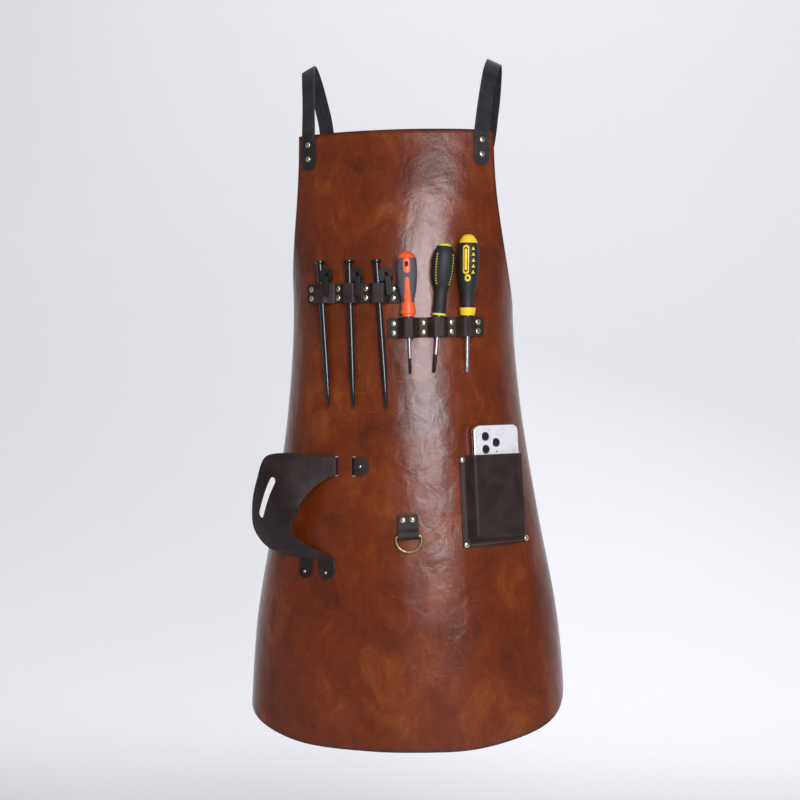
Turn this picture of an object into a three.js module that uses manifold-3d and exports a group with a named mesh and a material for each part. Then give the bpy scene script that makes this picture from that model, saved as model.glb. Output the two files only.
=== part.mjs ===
// A leather work apron in the shape in which it is worn, with its belts of tool loops, sling and pocket,
// and the pegs, screwdrivers and phone that it carries. Millimetres, +Z up, the front faces -Y. The
// origin is midway between the undersides of the two shoulder straps, where the wearer carries them.
import * as THREE from "three";
import { mergeVertices } from "three/addons/utils/BufferGeometryUtils.js";
import Module from "manifold-3d";

// ---- Driving dimensions ----

// Gaps between pieces that touch.
const seatGap = 0.3;
const slingGap = 0.5; // between the sling's ends and the panel
const capGap = 0.8; // under each rivet's two caps

// The body that the leather is bent round: height, half width, half depth, and y of its front.
const bodySections = [
  [0, 190, 92, -84],
  [-116, 185, 95, -96],
  [-216, 172, 105, -110],
  [-346, 160, 116, -122],
  [-496, 169, 124, -126],
  [-656, 193, 134, -130],
  [-816, 221, 142, -136],
  [-996, 233, 146, -142],
];

// Panel, flat sizes.
const panelThickness = 2.6;
const panelTop = -110;
const panelLength = 873;
const panelHalfWidth = 300;
const bibHalfWidth = 146;
const armholeDepth = 290;
const hemFlatHalf = 60; // the hem is straight this far from the middle, and then rises
const hemRise = 90;

// Leather of the smaller pieces.
const trimThickness = 2.4;

// Rivets: a domed cap, a post and a back cap.
const rivetCapRadius = 4.2;
const rivetCapHeight = 2;
const rivetBackHeight = 1;
const rivetPostRadius = 1.8;

// Shoulder straps: where each runs over the shoulder, and over the back to the far side. Back points are
// [distance round the body from the middle of the back, height].
const strapWidth = 22;
const strapThickness = 2.5;
const strapFromMiddle = 127; // along the bib, from its middle to the strap's middle
const strapOverlap = 52; // length of strap on the bib
const strapRivetDepths = [15, 36]; // below the bib's top
const overShoulder = [[129, -52, -62], [134, -28, -20], [138, 0, 0], [136, 34, -14], [129, 66, -58]];
const shoulderDome = [170, 95, 108]; // half width, half depth and height, for the slope of the shoulders
const crossHeight = -300;
const downBack = [[118, -124], [72, -196], [24, -264], [0, crossHeight], [-24, -320], [-52, -344]];
const bodyGap = 1; // between the straps and the body
const keeperRadius = 23;

// Side tabs and buckles.
const tabBelowArmhole = 34;
const tabRise = 35; // degrees, towards the back
const tabRivetFromEdge = 15;
const tabBar = 34; // from the rivet to the heel bar
const tabLength = 48; // from the heel bar to the tab's end
const buckleWire = 1.75; // radius
const buckleLength = 27;
const buckleSideGap = 2.2; // between strap and frame
const buckleGap = 0.5; // between strap, frame and tab
const prongWidth = 2.6;
const prongHeight = 2.4;
const prongEye = 1.6; // wall
const strapTail = 30; // past the heel bar
const strapSlot = { from: 20, to: 3 }; // the prong's hole in the strap, from the heel bar

// Bands of loops: the height of the middle at the left end, the rise to the right end, and the rivet
// columns, with a loop between each two.
const bandHeight = 28;
const pegBand = { left: -134, right: 13, middle: -341, rise: -4, columns: [-124, -77, -35, 4] };
const driverBand = { left: -5, right: 133, middle: -394, rise: 3, columns: [4, 45, 84, 123] };
const bandRivetSpread = 6.5; // each rivet row from the band's middle
const loopFlat = 5; // flat leather beside each rivet column
const loopGap = 0.8; // between a tool and its loop, the panel, or the band's edge that it rests on

// Pegs: a forged shank with a head, and a hook plate whose leg hangs in front of the band.
const pegTurns = [3.6, 1.4, 3.6]; // degrees, the head to the left
const pegHeadAbove = 47; // above the middle of the band
const pegLength = 209;
const pegRadius = 4.6;
const pegTipRadius = 2.2;
const pegTaper = 50;
const pegHeadRadius = 7.6;
const pegHeadHeight = 4;
const pegPlate = { left: 3.2, right: 21.5, top: 34, hole: 3, holeRight: 13, holeUp: 25 };
const pegWeld = { left: 1.5, right: 5.5 }; // it joins the plate to the shank's right side
const pegLeg = { left: 11.5, bottom: -6, thick: 4 };

// Screwdrivers. Each handle's outline is [height above the band, radius].
const shaftReach = 79; // below the handle
const drivers = [
  {
    turn: 1.7,
    shaft: 2.2,
    outline: [[0, 8.6], [4, 8.6], [4.6, 10.6], [16, 9.2], [24, 9.4], [40, 12.6], [62, 14.4], [80, 13.6]],
    top: [90, 7],
  },
  {
    turn: -4,
    shaft: 2.6,
    outline: [[0, 8.4], [3, 9.4], [28, 8.8], [38, 9.6], [48, 13.6], [64, 15.8], [84, 15.2], [96, 11]],
    top: [101, 5],
  },
  {
    turn: 1.6,
    shaft: 2.9,
    outline: [[0, 9.6], [10, 11.2], [12, 9.2], [26, 9], [42, 12.4], [66, 15.6], [92, 15], [106, 11]],
    top: [113, 5],
  },
];

// D-ring and its tab.
const ringTab = { middle: 22, bar: -684, width: 29, length: 30, rivetAbove: 23, rivetSpread: 6.5 };
const ringWire = 2; // radius
const ringDrop = 22; // bar to the bottom of the ring
const ringSideGap = 1.4;

// Pocket and phone.
const pocket = { middle: 149, centre: -636, width: 106, height: 128, turn: 2.5, seam: 11, side: 4.5 };
const phone = { width: 74, height: 154, thick: 8, corner: 10 };
const phoneGap = 0.6;
const phoneLean = 1.6; // degrees, its top away from the panel

// Tool sling: pairs of edge points [along, height, out from the body], upper or outer edge first.
const slingTab = { tip: -32, slit: -55, backSlit: -82, upper: -574, lower: -600 };
const slitRun = 4; // along the panel, where the sling passes through it
const slingEdges = [
  [[-96, -573, 9], [-94, -604, 6]],
  [[-120, -570, 20], [-104, -612, 11]],
  [[-146, -568, 34], [-114, -622, 17]],
  [[-168, -574, 46], [-122, -636, 24]],
  [[-180, -606, 50], [-128, -652, 29]],
  [[-194, -644, 47], [-134, -668, 29]],
  [[-200, -680, 38], [-138, -684, 24]],
  [[-184, -706, 22], [-120, -700, 12]],
];
const slingSlot = { from: 0.44, to: 0.64, across: 0.7, width: 12 }; // shares of the sling's run and width
const slingSteps = 18;
const legTop = -718;
const legEnd = -746;
const legs = [[-143, -119], [-108, -84]];
const studRadius = 3.4;

// Colours.
const cognac = { color: 0x6b3219, roughness: 0.35, metalness: 0 };
const darkBrown = { color: 0x372a2a, roughness: 0.6, metalness: 0 };
const navy = { color: 0x23242a, roughness: 0.5, metalness: 0 };
const brass = { color: 0xb49a62, roughness: 0.35, metalness: 1 };
const antiqueBrass = { color: 0x7a6238, roughness: 0.4, metalness: 1 };
const blackIron = { color: 0x1b1b1d, roughness: 0.3, metalness: 0.8 };
const steel = { color: 0x8d8f92, roughness: 0.3, metalness: 1 };
const handleColours = [
  { color: 0xc8431c, roughness: 0.5, metalness: 0 },
  { color: 0x202225, roughness: 0.5, metalness: 0 },
  { color: 0x1f1f21, roughness: 0.5, metalness: 0 },
];
const glassWhite = { color: 0xd9dadc, roughness: 0.2, metalness: 0 };

// ---- Solids ----

const wasm = await Module();
wasm.setup();

function toSolid(geometry) {
  const bare = geometry.clone();
  bare.deleteAttribute("normal");
  bare.deleteAttribute("uv");
  const merged = mergeVertices(bare, 1e-4);
  const mesh = new wasm.Mesh({
    numProp: 3,
    vertProperties: new Float32Array(merged.attributes.position.array),
    triVerts: new Uint32Array(merged.index.array),
  });
  return new wasm.Manifold(mesh);
}

function toGeometry(solid) {
  const mesh = solid.getMesh();
  const geometry = new THREE.BufferGeometry();
  geometry.setAttribute("position", new THREE.BufferAttribute(mesh.vertProperties, 3));
  geometry.setIndex(new THREE.BufferAttribute(mesh.triVerts, 1));
  return geometry;
}

function joined(...geometries) {
  return toGeometry(geometries.map(toSolid).reduce((all, next) => all.add(next)));
}

function cut(geometry, cutters) {
  return toGeometry(cutters.map(toSolid).reduce((left, next) => left.subtract(next), toSolid(geometry)));
}

// A closed sheet on a grid of points of its inner face. Columns run to the right and rows upwards, seen
// from outside.
function sheet(columns, rows, pointAt, thickness) {
  const inner = [];
  for (let j = 0; j <= rows; j++) {
    for (let i = 0; i <= columns; i++) inner.push(pointAt(i, j));
  }
  const at = (i, j) => j * (columns + 1) + i;
  const clamp = (i, j) => inner[at(Math.min(Math.max(i, 0), columns), Math.min(Math.max(j, 0), rows))];
  const outer = inner.map((point, k) => {
    const i = k % (columns + 1);
    const j = Math.floor(k / (columns + 1));
    const along = clamp(i + 1, j).clone().sub(clamp(i - 1, j));
    const up = clamp(i, j + 1).clone().sub(clamp(i, j - 1));
    return point.clone().addScaledVector(along.cross(up).normalize(), thickness);
  });
  const index = [];
  const quad = (a, b, c, d) => index.push(a, b, c, a, c, d);
  const shift = inner.length;
  for (let j = 0; j < rows; j++) {
    for (let i = 0; i < columns; i++) {
      const [a, b, c, d] = [at(i, j), at(i + 1, j), at(i + 1, j + 1), at(i, j + 1)];
      quad(a + shift, b + shift, c + shift, d + shift);
      quad(d, c, b, a);
    }
  }
  for (let i = 0; i < columns; i++) {
    quad(at(i, 0), at(i + 1, 0), at(i + 1, 0) + shift, at(i, 0) + shift);
    quad(at(i + 1, rows), at(i, rows), at(i, rows) + shift, at(i + 1, rows) + shift);
  }
  for (let j = 0; j < rows; j++) {
    quad(at(0, j + 1), at(0, j), at(0, j) + shift, at(0, j + 1) + shift);
    quad(at(columns, j), at(columns, j + 1), at(columns, j + 1) + shift, at(columns, j) + shift);
  }
  const geometry = new THREE.BufferGeometry().setFromPoints([...inner, ...outer]);
  geometry.setIndex(index);
  return geometry;
}

function lathe(outline, sides) {
  return new THREE.LatheGeometry(outline.map(([r, h]) => new THREE.Vector2(r, h)), sides);
}

function box(from, to) {
  const size = to.map((value, k) => value - from[k]);
  const geometry = new THREE.BoxGeometry(...size);
  return geometry.translate(...from.map((value, k) => value + size[k] / 2));
}

// The outline of a strip of one thickness along a flat path.
function stripShape(path, thickness) {
  const points = path.map(([x, y]) => new THREE.Vector2(x, y));
  const side = (sign) =>
    points.map((point, k) => {
      const before = points[Math.max(k - 1, 0)];
      const after = points[Math.min(k + 1, points.length - 1)];
      const a = point.clone().sub(before).normalize();
      const b = after.clone().sub(point).normalize();
      const along = a.add(b).normalize();
      const run = k === 0 || k === points.length - 1 ? 1 : along.dot(after.clone().sub(point).normalize());
      const across = new THREE.Vector2(-along.y, along.x);
      return point.clone().addScaledVector(across, (sign * thickness) / 2 / run);
    });
  return new THREE.Shape([...side(-1), ...side(1).reverse()]);
}

// ---- The worn shape ----

const lerp = THREE.MathUtils.lerp;

// A size of the body at a height, on a smooth curve through the sections.
function bodySize(height, which) {
  const last = bodySections.length - 2;
  let k = 0;
  while (k < last && height < bodySections[k + 1][0]) k++;
  const slope = (i) => {
    const a = bodySections[Math.max(i - 1, 0)];
    const b = bodySections[Math.min(i + 1, last + 1)];
    return (b[which] - a[which]) / (b[0] - a[0]);
  };
  const [p, q] = [bodySections[k], bodySections[k + 1]];
  if (height < q[0]) return q[which] + slope(k + 1) * (height - q[0]);
  const run = q[0] - p[0];
  const t = (height - p[0]) / run;
  return (
    (2 * t ** 3 - 3 * t ** 2 + 1) * p[which] +
    (t ** 3 - 2 * t ** 2 + t) * run * slope(k) +
    (3 * t ** 2 - 2 * t ** 3) * q[which] +
    (t ** 3 - t ** 2) * run * slope(k + 1)
  );
}

// The point of the body at a distance along its girth from the middle of the front, at a height, and out
// from it.
function onBody(along, height, out = 0) {
  const a = bodySize(height, 1);
  const b = bodySize(height, 2);
  const steps = 24;
  const run = Math.abs(along) / steps;
  const speed = (turn) => Math.hypot(a * Math.cos(turn), b * Math.sin(turn));
  let turn = 0;
  for (let i = 0; i < steps; i++) turn += run / speed(turn + run / speed(turn) / 2);
  turn *= Math.sign(along);
  const normal = new THREE.Vector3(b * Math.sin(turn), -a * Math.cos(turn), 0).normalize();
  const y = bodySize(height, 3) + b * (1 - Math.cos(turn));
  return new THREE.Vector3(a * Math.sin(turn), y, height).addScaledVector(normal, out);
}

// A frame on the body: x along it to the right, y up, z out, turned in its own plane.
function frameOnBody(along, height, out = 0, turn = 0) {
  const side = onBody(along + 1, height).sub(onBody(along - 1, height));
  const up = onBody(along, height + 5).sub(onBody(along, height - 5)).normalize();
  const outward = side.cross(up).normalize();
  const frame = new THREE.Matrix4().makeBasis(up.clone().cross(outward), up, outward);
  frame.multiply(new THREE.Matrix4().makeRotationZ(turn));
  return frame.setPosition(onBody(along, height, out));
}

// A frame for a straight tool that lies against the panel: y up the tool, z out of the panel, and the origin
// on the plane that rests on the panel's front between the tool's ends.
function restingFrame(along, height, below, above, turn) {
  const at = (y) => onBody(along - y * Math.sin(turn), height + y * Math.cos(turn), panelThickness);
  const up = at(above).sub(at(-below)).normalize();
  const outward = onBody(along + 1, height).sub(onBody(along - 1, height)).cross(up).normalize();
  const rises = Array.from({ length: 13 }, (_, k) => at(lerp(-below, above, k / 12)).sub(at(0)).dot(outward));
  const origin = at(0).addScaledVector(outward, Math.max(...rises));
  return new THREE.Matrix4().makeBasis(up.clone().cross(outward), up, outward).setPosition(origin);
}

// How far a frame's origin stands out from the body.
function standOut(frame, along, height) {
  const origin = new THREE.Vector3().setFromMatrixPosition(frame);
  return origin.sub(onBody(along, height)).dot(new THREE.Vector3().setFromMatrixColumn(frame, 2));
}

const panelFront = panelThickness + seatGap; // the inner face of what lies on the panel
const degrees = THREE.MathUtils.degToRad;

const moved = (frame, x, y, z) => frame.clone().multiply(new THREE.Matrix4().makeTranslation(x, y, z));

// ---- Nodes ----

const apron = new THREE.Group();
const holes = []; // cutters of every rivet hole

function add(name, geometry, finish, frame) {
  const mesh = new THREE.Mesh(geometry, new THREE.MeshStandardMaterial(finish));
  mesh.name = name;
  if (frame) {
    mesh.applyMatrix4(frame);
  }
  apron.add(mesh);
}

function postHole(frame, length) {
  const radius = (rivetPostRadius + seatGap) / Math.cos(Math.PI / 6);
  const cutter = new THREE.CylinderGeometry(radius, radius, length * 2, 6);
  return cutter.rotateX(Math.PI / 2).applyMatrix4(frame);
}

// A rivet through a stack of leather of this height, and the holes that it needs.
function rivet(name, frame, stack, capRadius = rivetCapRadius) {
  const low = -capGap;
  const high = stack + capGap;
  const outline = [
    [0, low - rivetBackHeight],
    [capRadius, low - rivetBackHeight],
    [capRadius, low],
    [rivetPostRadius, low],
    [rivetPostRadius, high],
    [capRadius, high],
    [capRadius * 0.7, high + rivetCapHeight * 0.8],
    [0, high + rivetCapHeight],
  ];
  add(name, lathe(outline, 8).rotateX(Math.PI / 2), brass, frame);
  holes.push(postHole(frame, stack + 6));
}

// Both bands: a strip that is flat at its rivet columns and stands out over each tool.
const bandMiddle = (band, along) =>
  band.middle + (band.rise * (along - band.left)) / (band.right - band.left);

function smooth(t) {
  const x = Math.min(Math.max(t, 0), 1);
  return x * x * (3 - 2 * x);
}

// loops: for each loop its middle, half its flat top, and how far out of the body its inner face stands.
function bandGeometry(band, loops) {
  const places = [[band.left, panelFront]];
  loops.forEach((loop, k) => {
    const foot = Math.min(loop.middle - band.columns[k], band.columns[k + 1] - loop.middle) - loopFlat;
    places.push([band.columns[k], panelFront]);
    for (const side of [-1, 1]) {
      for (const step of side < 0 ? [0, 1, 2, 3] : [3, 2, 1, 0]) {
        const share = smooth(step / 3);
        const from = lerp(foot, loop.flat, step / 3);
        places.push([loop.middle + side * from, lerp(panelFront, loop.out, share)]);
      }
    }
  });
  places.push([band.columns.at(-1), panelFront], [band.right, panelFront]);
  const pointAt = (i, j) => {
    const [along, out] = places[i];
    return onBody(along, bandMiddle(band, along) + (j - 0.5) * bandHeight, out);
  };
  return sheet(places.length - 1, 1, pointAt, trimThickness);
}

function bandRivets(name, band) {
  band.columns.forEach((along, k) => {
    for (const row of [1, -1]) {
      const height = bandMiddle(band, along) + row * bandRivetSpread;
      const rowName = row > 0 ? "upper" : "lower";
      rivet(`${name}_rivet_${k + 1}_${rowName}`, frameOnBody(along, height), panelFront + trimThickness);
    }
  });
}

const loopMiddle = (band, k) => (band.columns[k] + band.columns[k + 1]) / 2;

// Pegs. In a peg's frame y runs up its shank, from the middle of the band, and z points out. Its head and
// its tip clear the panel alike.
const pegFrames = pegTurns.map((turn, k) => {
  const along = loopMiddle(pegBand, k);
  const reach = pegLength - pegHeadAbove;
  const frame = restingFrame(along, bandMiddle(pegBand, along), reach, pegHeadAbove, degrees(turn));
  const spread = (pegHeadRadius - pegRadius) / pegLength;
  const lean = new THREE.Matrix4().makeRotationX(Math.atan(spread));
  return moved(frame, 0, 0, loopGap + pegRadius + spread * reach).multiply(lean);
});

function pegGeometry() {
  const tip = pegHeadAbove - pegLength;
  const shank = lathe(
    [
      [0, tip],
      [pegTipRadius, tip],
      [pegRadius, tip + pegTaper],
      [pegRadius, pegHeadAbove - pegHeadHeight],
      [pegHeadRadius, pegHeadAbove - pegHeadHeight],
      [pegHeadRadius, pegHeadAbove],
      [0, pegHeadAbove],
    ],
    10,
  );
  const seat = bandHeight / 2 + loopGap; // the plate rests on the band's top edge
  const legBack = pegRadius + loopGap + trimThickness + loopGap;
  const legFront = legBack + pegLeg.thick;
  const plate = box([pegPlate.left, seat, legBack], [pegPlate.right, pegPlate.top, legFront]);
  const weld = box([pegWeld.left, seat, 0], [pegWeld.right, pegPlate.top - 1, legBack + 1]);
  const leg = box([pegLeg.left, pegLeg.bottom, legBack], [pegPlate.right, pegPlate.top - 1, legFront]);
  const hole = new THREE.CylinderGeometry(pegPlate.hole, pegPlate.hole, 40, 8).rotateX(Math.PI / 2);
  hole.translate(pegPlate.holeRight, pegPlate.holeUp, 0);
  return cut(joined(shank, weld, plate, leg), [hole]);
}

pegFrames.forEach((frame, k) => add(`peg_${k + 1}`, pegGeometry(), blackIron, frame));

const pegLoops = pegTurns.map((turn, k) => {
  const middle = loopMiddle(pegBand, k);
  return {
    middle,
    flat: pegRadius + loopGap + (Math.tan(degrees(Math.abs(turn))) * bandHeight) / 2,
    out: standOut(pegFrames[k], middle, bandMiddle(pegBand, middle)) + pegRadius + loopGap,
  };
});
bandRivets("peg_band", pegBand);
add("peg_band", cut(bandGeometry(pegBand, pegLoops), holes), darkBrown);

// Screwdrivers. In a driver's frame y runs up its axis from the band's top edge, and z points out. Each
// leans so far that the widest part of the handle and the shaft's tip clear the panel alike.
const driverLoops = [];
const driverHolesFrom = holes.length;
drivers.forEach((driver, k) => {
  const along = loopMiddle(driverBand, k);
  const middle = bandMiddle(driverBand, along);
  const reachShare = (rise) => 1 + rise / shaftReach;
  const clears = ([rise, radius]) => (radius + (rise * driver.shaft) / shaftReach) / reachShare(rise);
  const standOff = Math.max(...driver.outline.map(clears));
  const lean = new THREE.Matrix4().makeRotationX(Math.atan((standOff - driver.shaft) / shaftReach));
  const edge = middle + bandHeight / 2;
  const [topRise, topRadius] = driver.top;
  const resting = restingFrame(along, edge, shaftReach, topRise, degrees(driver.turn));
  const frame = moved(resting, 0, 0, loopGap + standOff).multiply(lean);
  const rest = loopGap + driver.outline[0][1] * Math.tan(degrees(Math.abs(driver.turn)));
  const handle = driver.outline.map(([rise, radius]) => [radius, rise + rest]);
  const top = topRise + rest;
  const socket = 12; // the shaft's length in the handle
  const shaftTop = rest + socket;
  const foot = -shaftReach;
  const shaft = lathe([[0, foot], [driver.shaft, foot], [driver.shaft, shaftTop], [0, shaftTop]], 8);
  const bore = new THREE.CylinderGeometry(driver.shaft + seatGap, driver.shaft + seatGap, socket * 2 + 1, 8);
  bore.translate(0, rest, 0);
  const solid = lathe([[0, rest], ...handle, [topRadius, top], [0, top]], 12);
  add(`driver_${k + 1}_handle`, cut(solid, [bore]), handleColours[k], frame);
  add(`driver_${k + 1}_shaft`, shaft, steel, frame);
  driverLoops.push({
    middle: along,
    flat: driver.shaft + loopGap + Math.tan(degrees(Math.abs(driver.turn))) * bandHeight,
    out: standOut(frame, along, edge) + driver.shaft + loopGap,
  });
});
bandRivets("driver_band", driverBand);
add("driver_band", cut(bandGeometry(driverBand, driverLoops), holes.slice(driverHolesFrom)), darkBrown);

// Turns an extrusion so that its outline's x becomes y and its y becomes z, and it runs across the frame.
function acrossFrom(width) {
  return new THREE.Matrix4().set(0, 0, 1, -width / 2, 1, 0, 0, 0, 0, 1, 0, 0, 0, 0, 0, 1);
}

// A strip folded round a bar and riveted flat. In its frame the rivets are at y = 0, the bar lies across
// at y = -bar, and z points out from the inner face.
const foldRadius = (wire) => wire + seatGap;
const foldBarOut = (wire) => trimThickness + foldRadius(wire);

function foldedTab(width, length, bar, wire) {
  const middle = foldRadius(wire) + trimThickness / 2; // from the bar's middle to the strip's
  const back = trimThickness / 2;
  const front = back + trimThickness + seatGap;
  const barOut = foldBarOut(wire);
  const end = length - bar;
  const path = [[end, back], [-bar, back]];
  const turns = 6;
  for (let k = 1; k < turns; k++) {
    const angle = -Math.PI / 2 - (k * Math.PI) / turns;
    path.push([-bar + middle * Math.cos(angle), barOut + middle * Math.sin(angle)]);
  }
  path.push([-bar + 1.5, barOut + middle], [-bar + 3 * middle, front], [end, front]);
  const shape = stripShape(path, trimThickness);
  const geometry = new THREE.ExtrudeGeometry(shape, { depth: width, bevelEnabled: false });
  return geometry.applyMatrix4(acrossFrom(width));
}

const foldStack = 2 * trimThickness + seatGap;

// A closed loop of round wire along a flat outline with rounded corners.
function wireLoop(corners, radius, wire, steps) {
  const points = corners.map(([x, y]) => new THREE.Vector3(x, y, 0));
  const path = new THREE.CurvePath();
  const towards = (from, to) => {
    const reach = Math.min(radius, from.distanceTo(to) / 2.01);
    return from.clone().add(to.clone().sub(from).setLength(reach));
  };
  points.forEach((point, k) => {
    const before = points.at(k - 1);
    const after = points[(k + 1) % points.length];
    path.add(new THREE.QuadraticBezierCurve3(towards(point, before), point, towards(point, after)));
    path.add(new THREE.LineCurve3(towards(point, after), towards(after, point)));
  });
  return new THREE.TubeGeometry(path, steps, wire, 6, true);
}

// D-ring tab and D-ring.
const ringFrame = frameOnBody(ringTab.middle, ringTab.bar + ringTab.rivetAbove, panelFront, degrees(3));
const ringHolesFrom = holes.length;
for (const side of [-1, 1]) {
  const frame = moved(ringFrame, side * ringTab.rivetSpread, 0, -panelFront);
  rivet(`ring_tab_rivet_${side < 0 ? "left" : "right"}`, frame, panelFront + foldStack);
}
add(
  "ring_tab",
  cut(
    foldedTab(ringTab.width, ringTab.length, ringTab.rivetAbove, ringWire).applyMatrix4(ringFrame),
    holes.slice(ringHolesFrom),
  ),
  darkBrown,
);
const ringHalf = ringTab.width / 2 + ringSideGap + ringWire;
const ringCorners = [[-ringHalf, 0]];
for (let k = 6; k >= 0; k--) {
  const angle = (-Math.PI * (6 - k)) / 6;
  ringCorners.push([-ringHalf * Math.cos(angle), -4 + (ringDrop - 4) * Math.sin(angle)]);
}
ringCorners.push([ringHalf, 0]);
// The turn that lets the ring hang straight down.
const plumb = new THREE.Matrix4().makeRotationX(Math.asin(ringFrame.elements[10]));
add(
  "d_ring",
  wireLoop(ringCorners, 3, ringWire, 32),
  antiqueBrass,
  moved(ringFrame, 0, -ringTab.rivetAbove, foldBarOut(ringWire)).multiply(plumb),
);

// Phone, and the pocket that stands over it. The pocket's frame lies on the panel at its centre.
const pocketFrame = frameOnBody(pocket.middle, pocket.centre, panelFront, degrees(pocket.turn));
const phoneFoot = -pocket.height / 2 + pocket.seam + pocket.side + phoneGap;

const pocketBorder = [0, pocket.seam, pocket.seam + pocket.side / 2, pocket.seam + pocket.side];
const pocketFlat = pocket.width / 2 - pocketBorder[3];
const pocketColumns = [
  ...pocketBorder.map((d) => d - pocket.width / 2),
  ...[-0.6, -0.2, 0.2, 0.6].map((share) => share * pocketFlat),
  ...pocketBorder.toReversed().map((d) => pocket.width / 2 - d),
];
const pocketRowHeights = [...pocketBorder.map((d) => d - pocket.height / 2), 0, pocket.height / 2];

function pocketPoint(i, j) {
  const [x, y] = [pocketColumns[i], pocketRowHeights[j]];
  const share = smooth((pocket.width / 2 - Math.abs(x) - pocket.seam) / pocket.side) *
    smooth((y + pocket.height / 2 - pocket.seam) / pocket.side);
  const cos = Math.cos(degrees(pocket.turn));
  const sin = Math.sin(degrees(pocket.turn));
  const border = onBody(pocket.middle + x * cos - y * sin, pocket.centre + x * sin + y * cos, panelFront);
  const lean = Math.tan(degrees(phoneLean)) * (y - phoneFoot);
  const raised = new THREE.Vector3(x, y, phone.thick + 2 * phoneGap + lean).applyMatrix4(pocketFrame);
  return border.lerp(raised, share);
}

const pocketHolesFrom = holes.length;
for (const side of [-1, 1]) {
  for (const row of [1, -1]) {
    const x = side * (pocket.width / 2 - rivetCapRadius - 0.5);
    const y = row * (pocket.height / 2 - rivetCapRadius - 0.5);
    const cos = Math.cos(degrees(pocket.turn));
    const sin = Math.sin(degrees(pocket.turn));
    const frame = frameOnBody(pocket.middle + x * cos - y * sin, pocket.centre + x * sin + y * cos);
    const name = `pocket_rivet_${row > 0 ? "upper" : "lower"}_${side < 0 ? "left" : "right"}`;
    rivet(name, frame, panelFront + trimThickness);
  }
}
const pocketSheet = sheet(pocketColumns.length - 1, pocketRowHeights.length - 1, pocketPoint, trimThickness);
add("phone_pocket", cut(pocketSheet, holes.slice(pocketHolesFrom)), darkBrown);

function roundedBox(width, height, thick, corner) {
  const shape = new THREE.Shape();
  const [x, y] = [width / 2 - corner, height - corner];
  shape.absarc(-x, corner, corner, Math.PI, 1.5 * Math.PI);
  shape.absarc(x, corner, corner, 1.5 * Math.PI, 2 * Math.PI);
  shape.absarc(x, y, corner, 0, 0.5 * Math.PI);
  shape.absarc(-x, y, corner, 0.5 * Math.PI, Math.PI);
  return new THREE.ExtrudeGeometry(shape, { depth: thick, bevelEnabled: false, curveSegments: 4 });
}

add(
  "phone",
  roundedBox(phone.width, phone.height, phone.thick, phone.corner),
  glassWhite,
  moved(pocketFrame, 0, phoneFoot, phoneGap).multiply(new THREE.Matrix4().makeRotationX(degrees(phoneLean))),
);

// Tool sling: a strip that passes behind the panel through two slits, stands out as a loop, and ends in
// two legs on the panel.
const slingNear = panelThickness + slingGap;

// The rows of edge points that pass through the slits.
function slitRows(grow) {
  const near = slingNear - grow;
  const behind = -slingGap - trimThickness - grow;
  const { tip, slit, backSlit, upper, lower } = slingTab;
  const straight = [[tip, near], [slit + slitRun / 2, near], [slit - slitRun / 2, behind]];
  straight.push([backSlit + slitRun / 2, behind], [backSlit - slitRun / 2, near]);
  return straight.map(([along, out]) => [
    [along, upper + grow, out],
    [along, lower - grow, out],
  ]);
}

const slingCurves = [0, 1].map((which) => {
  const points = [slitRows(0).at(-1)[which], ...slingEdges.map((pair) => pair[which])];
  const ends = which === 0 ? legs[0][0] : legs[1][1];
  points.push([ends, legTop, slingNear], [ends, legEnd, slingNear]);
  return new THREE.CatmullRomCurve3(points.map((point) => new THREE.Vector3(...point)), false, "centripetal");
});

// The pair of edge points at a share of the sling's run.
const slingPair = (share) =>
  slingCurves.map((curve) => curve.getPoint(share)).map(({ x, y, z }) => [x, y, Math.max(z, slingNear)]);

// The point of the sling between a pair of edge points.
const slingPoint = ([outer, inner], share) =>
  onBody(...inner.map((value, k) => lerp(value, outer[k], share)));

function slingGeometry(rows, grow, columns) {
  const pointAt = (i, j) => slingPoint(rows[j], i / columns);
  return sheet(columns, rows.length - 1, pointAt, trimThickness + 2 * grow);
}

// The sling's slot, a straight hole with round ends.
function slotCutter() {
  const { from, to } = slingSlot;
  const [start, middle, end] = [from, (from + to) / 2, to].map(slingPair);
  const along = slingPoint(end, slingSlot.across).sub(slingPoint(start, slingSlot.across));
  const across = slingPoint(middle, 1).sub(slingPoint(middle, 0)).normalize();
  const up = along.clone().addScaledVector(across, -along.dot(across)).normalize();
  const frame = new THREE.Matrix4().makeBasis(across, up, across.clone().cross(up));
  frame.setPosition(slingPoint(middle, slingSlot.across));
  const straight = (along.length() - slingSlot.width) / 2;
  const shape = new THREE.Shape();
  shape.absarc(0, straight, slingSlot.width / 2, 0, Math.PI);
  shape.absarc(0, -straight, slingSlot.width / 2, Math.PI, 2 * Math.PI);
  const cutter = new THREE.ExtrudeGeometry(shape, { depth: 24, bevelEnabled: false, curveSegments: 5 });
  return cutter.translate(0, 0, -12).applyMatrix4(frame);
}

const slingRows = slitRows(0);
for (let k = 1; k <= slingSteps; k++) slingRows.push(slingPair(k / slingSteps));
const slingHolesFrom = holes.length;
rivet("sling_stud_upper", frameOnBody(slingTab.slit + 11, (slingTab.upper + slingTab.lower) / 2),
  panelThickness + slingGap + trimThickness, studRadius);
legs.forEach(([left, right], k) => {
  const frame = frameOnBody((left + right) / 2, legEnd + 9);
  rivet(`sling_stud_leg_${k + 1}`, frame, panelThickness + slingGap + trimThickness, studRadius);
});
const legGap = box([-(legs[1][0] - legs[0][1]) / 2, -40, -10], [(legs[1][0] - legs[0][1]) / 2, 2, 10]);
legGap.applyMatrix4(frameOnBody((legs[0][1] + legs[1][0]) / 2, legTop, panelFront));
add(
  "tool_sling",
  cut(slingGeometry(slingRows, 0, 6), [...holes.slice(slingHolesFrom), legGap, slotCutter()]),
  darkBrown,
);

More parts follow.
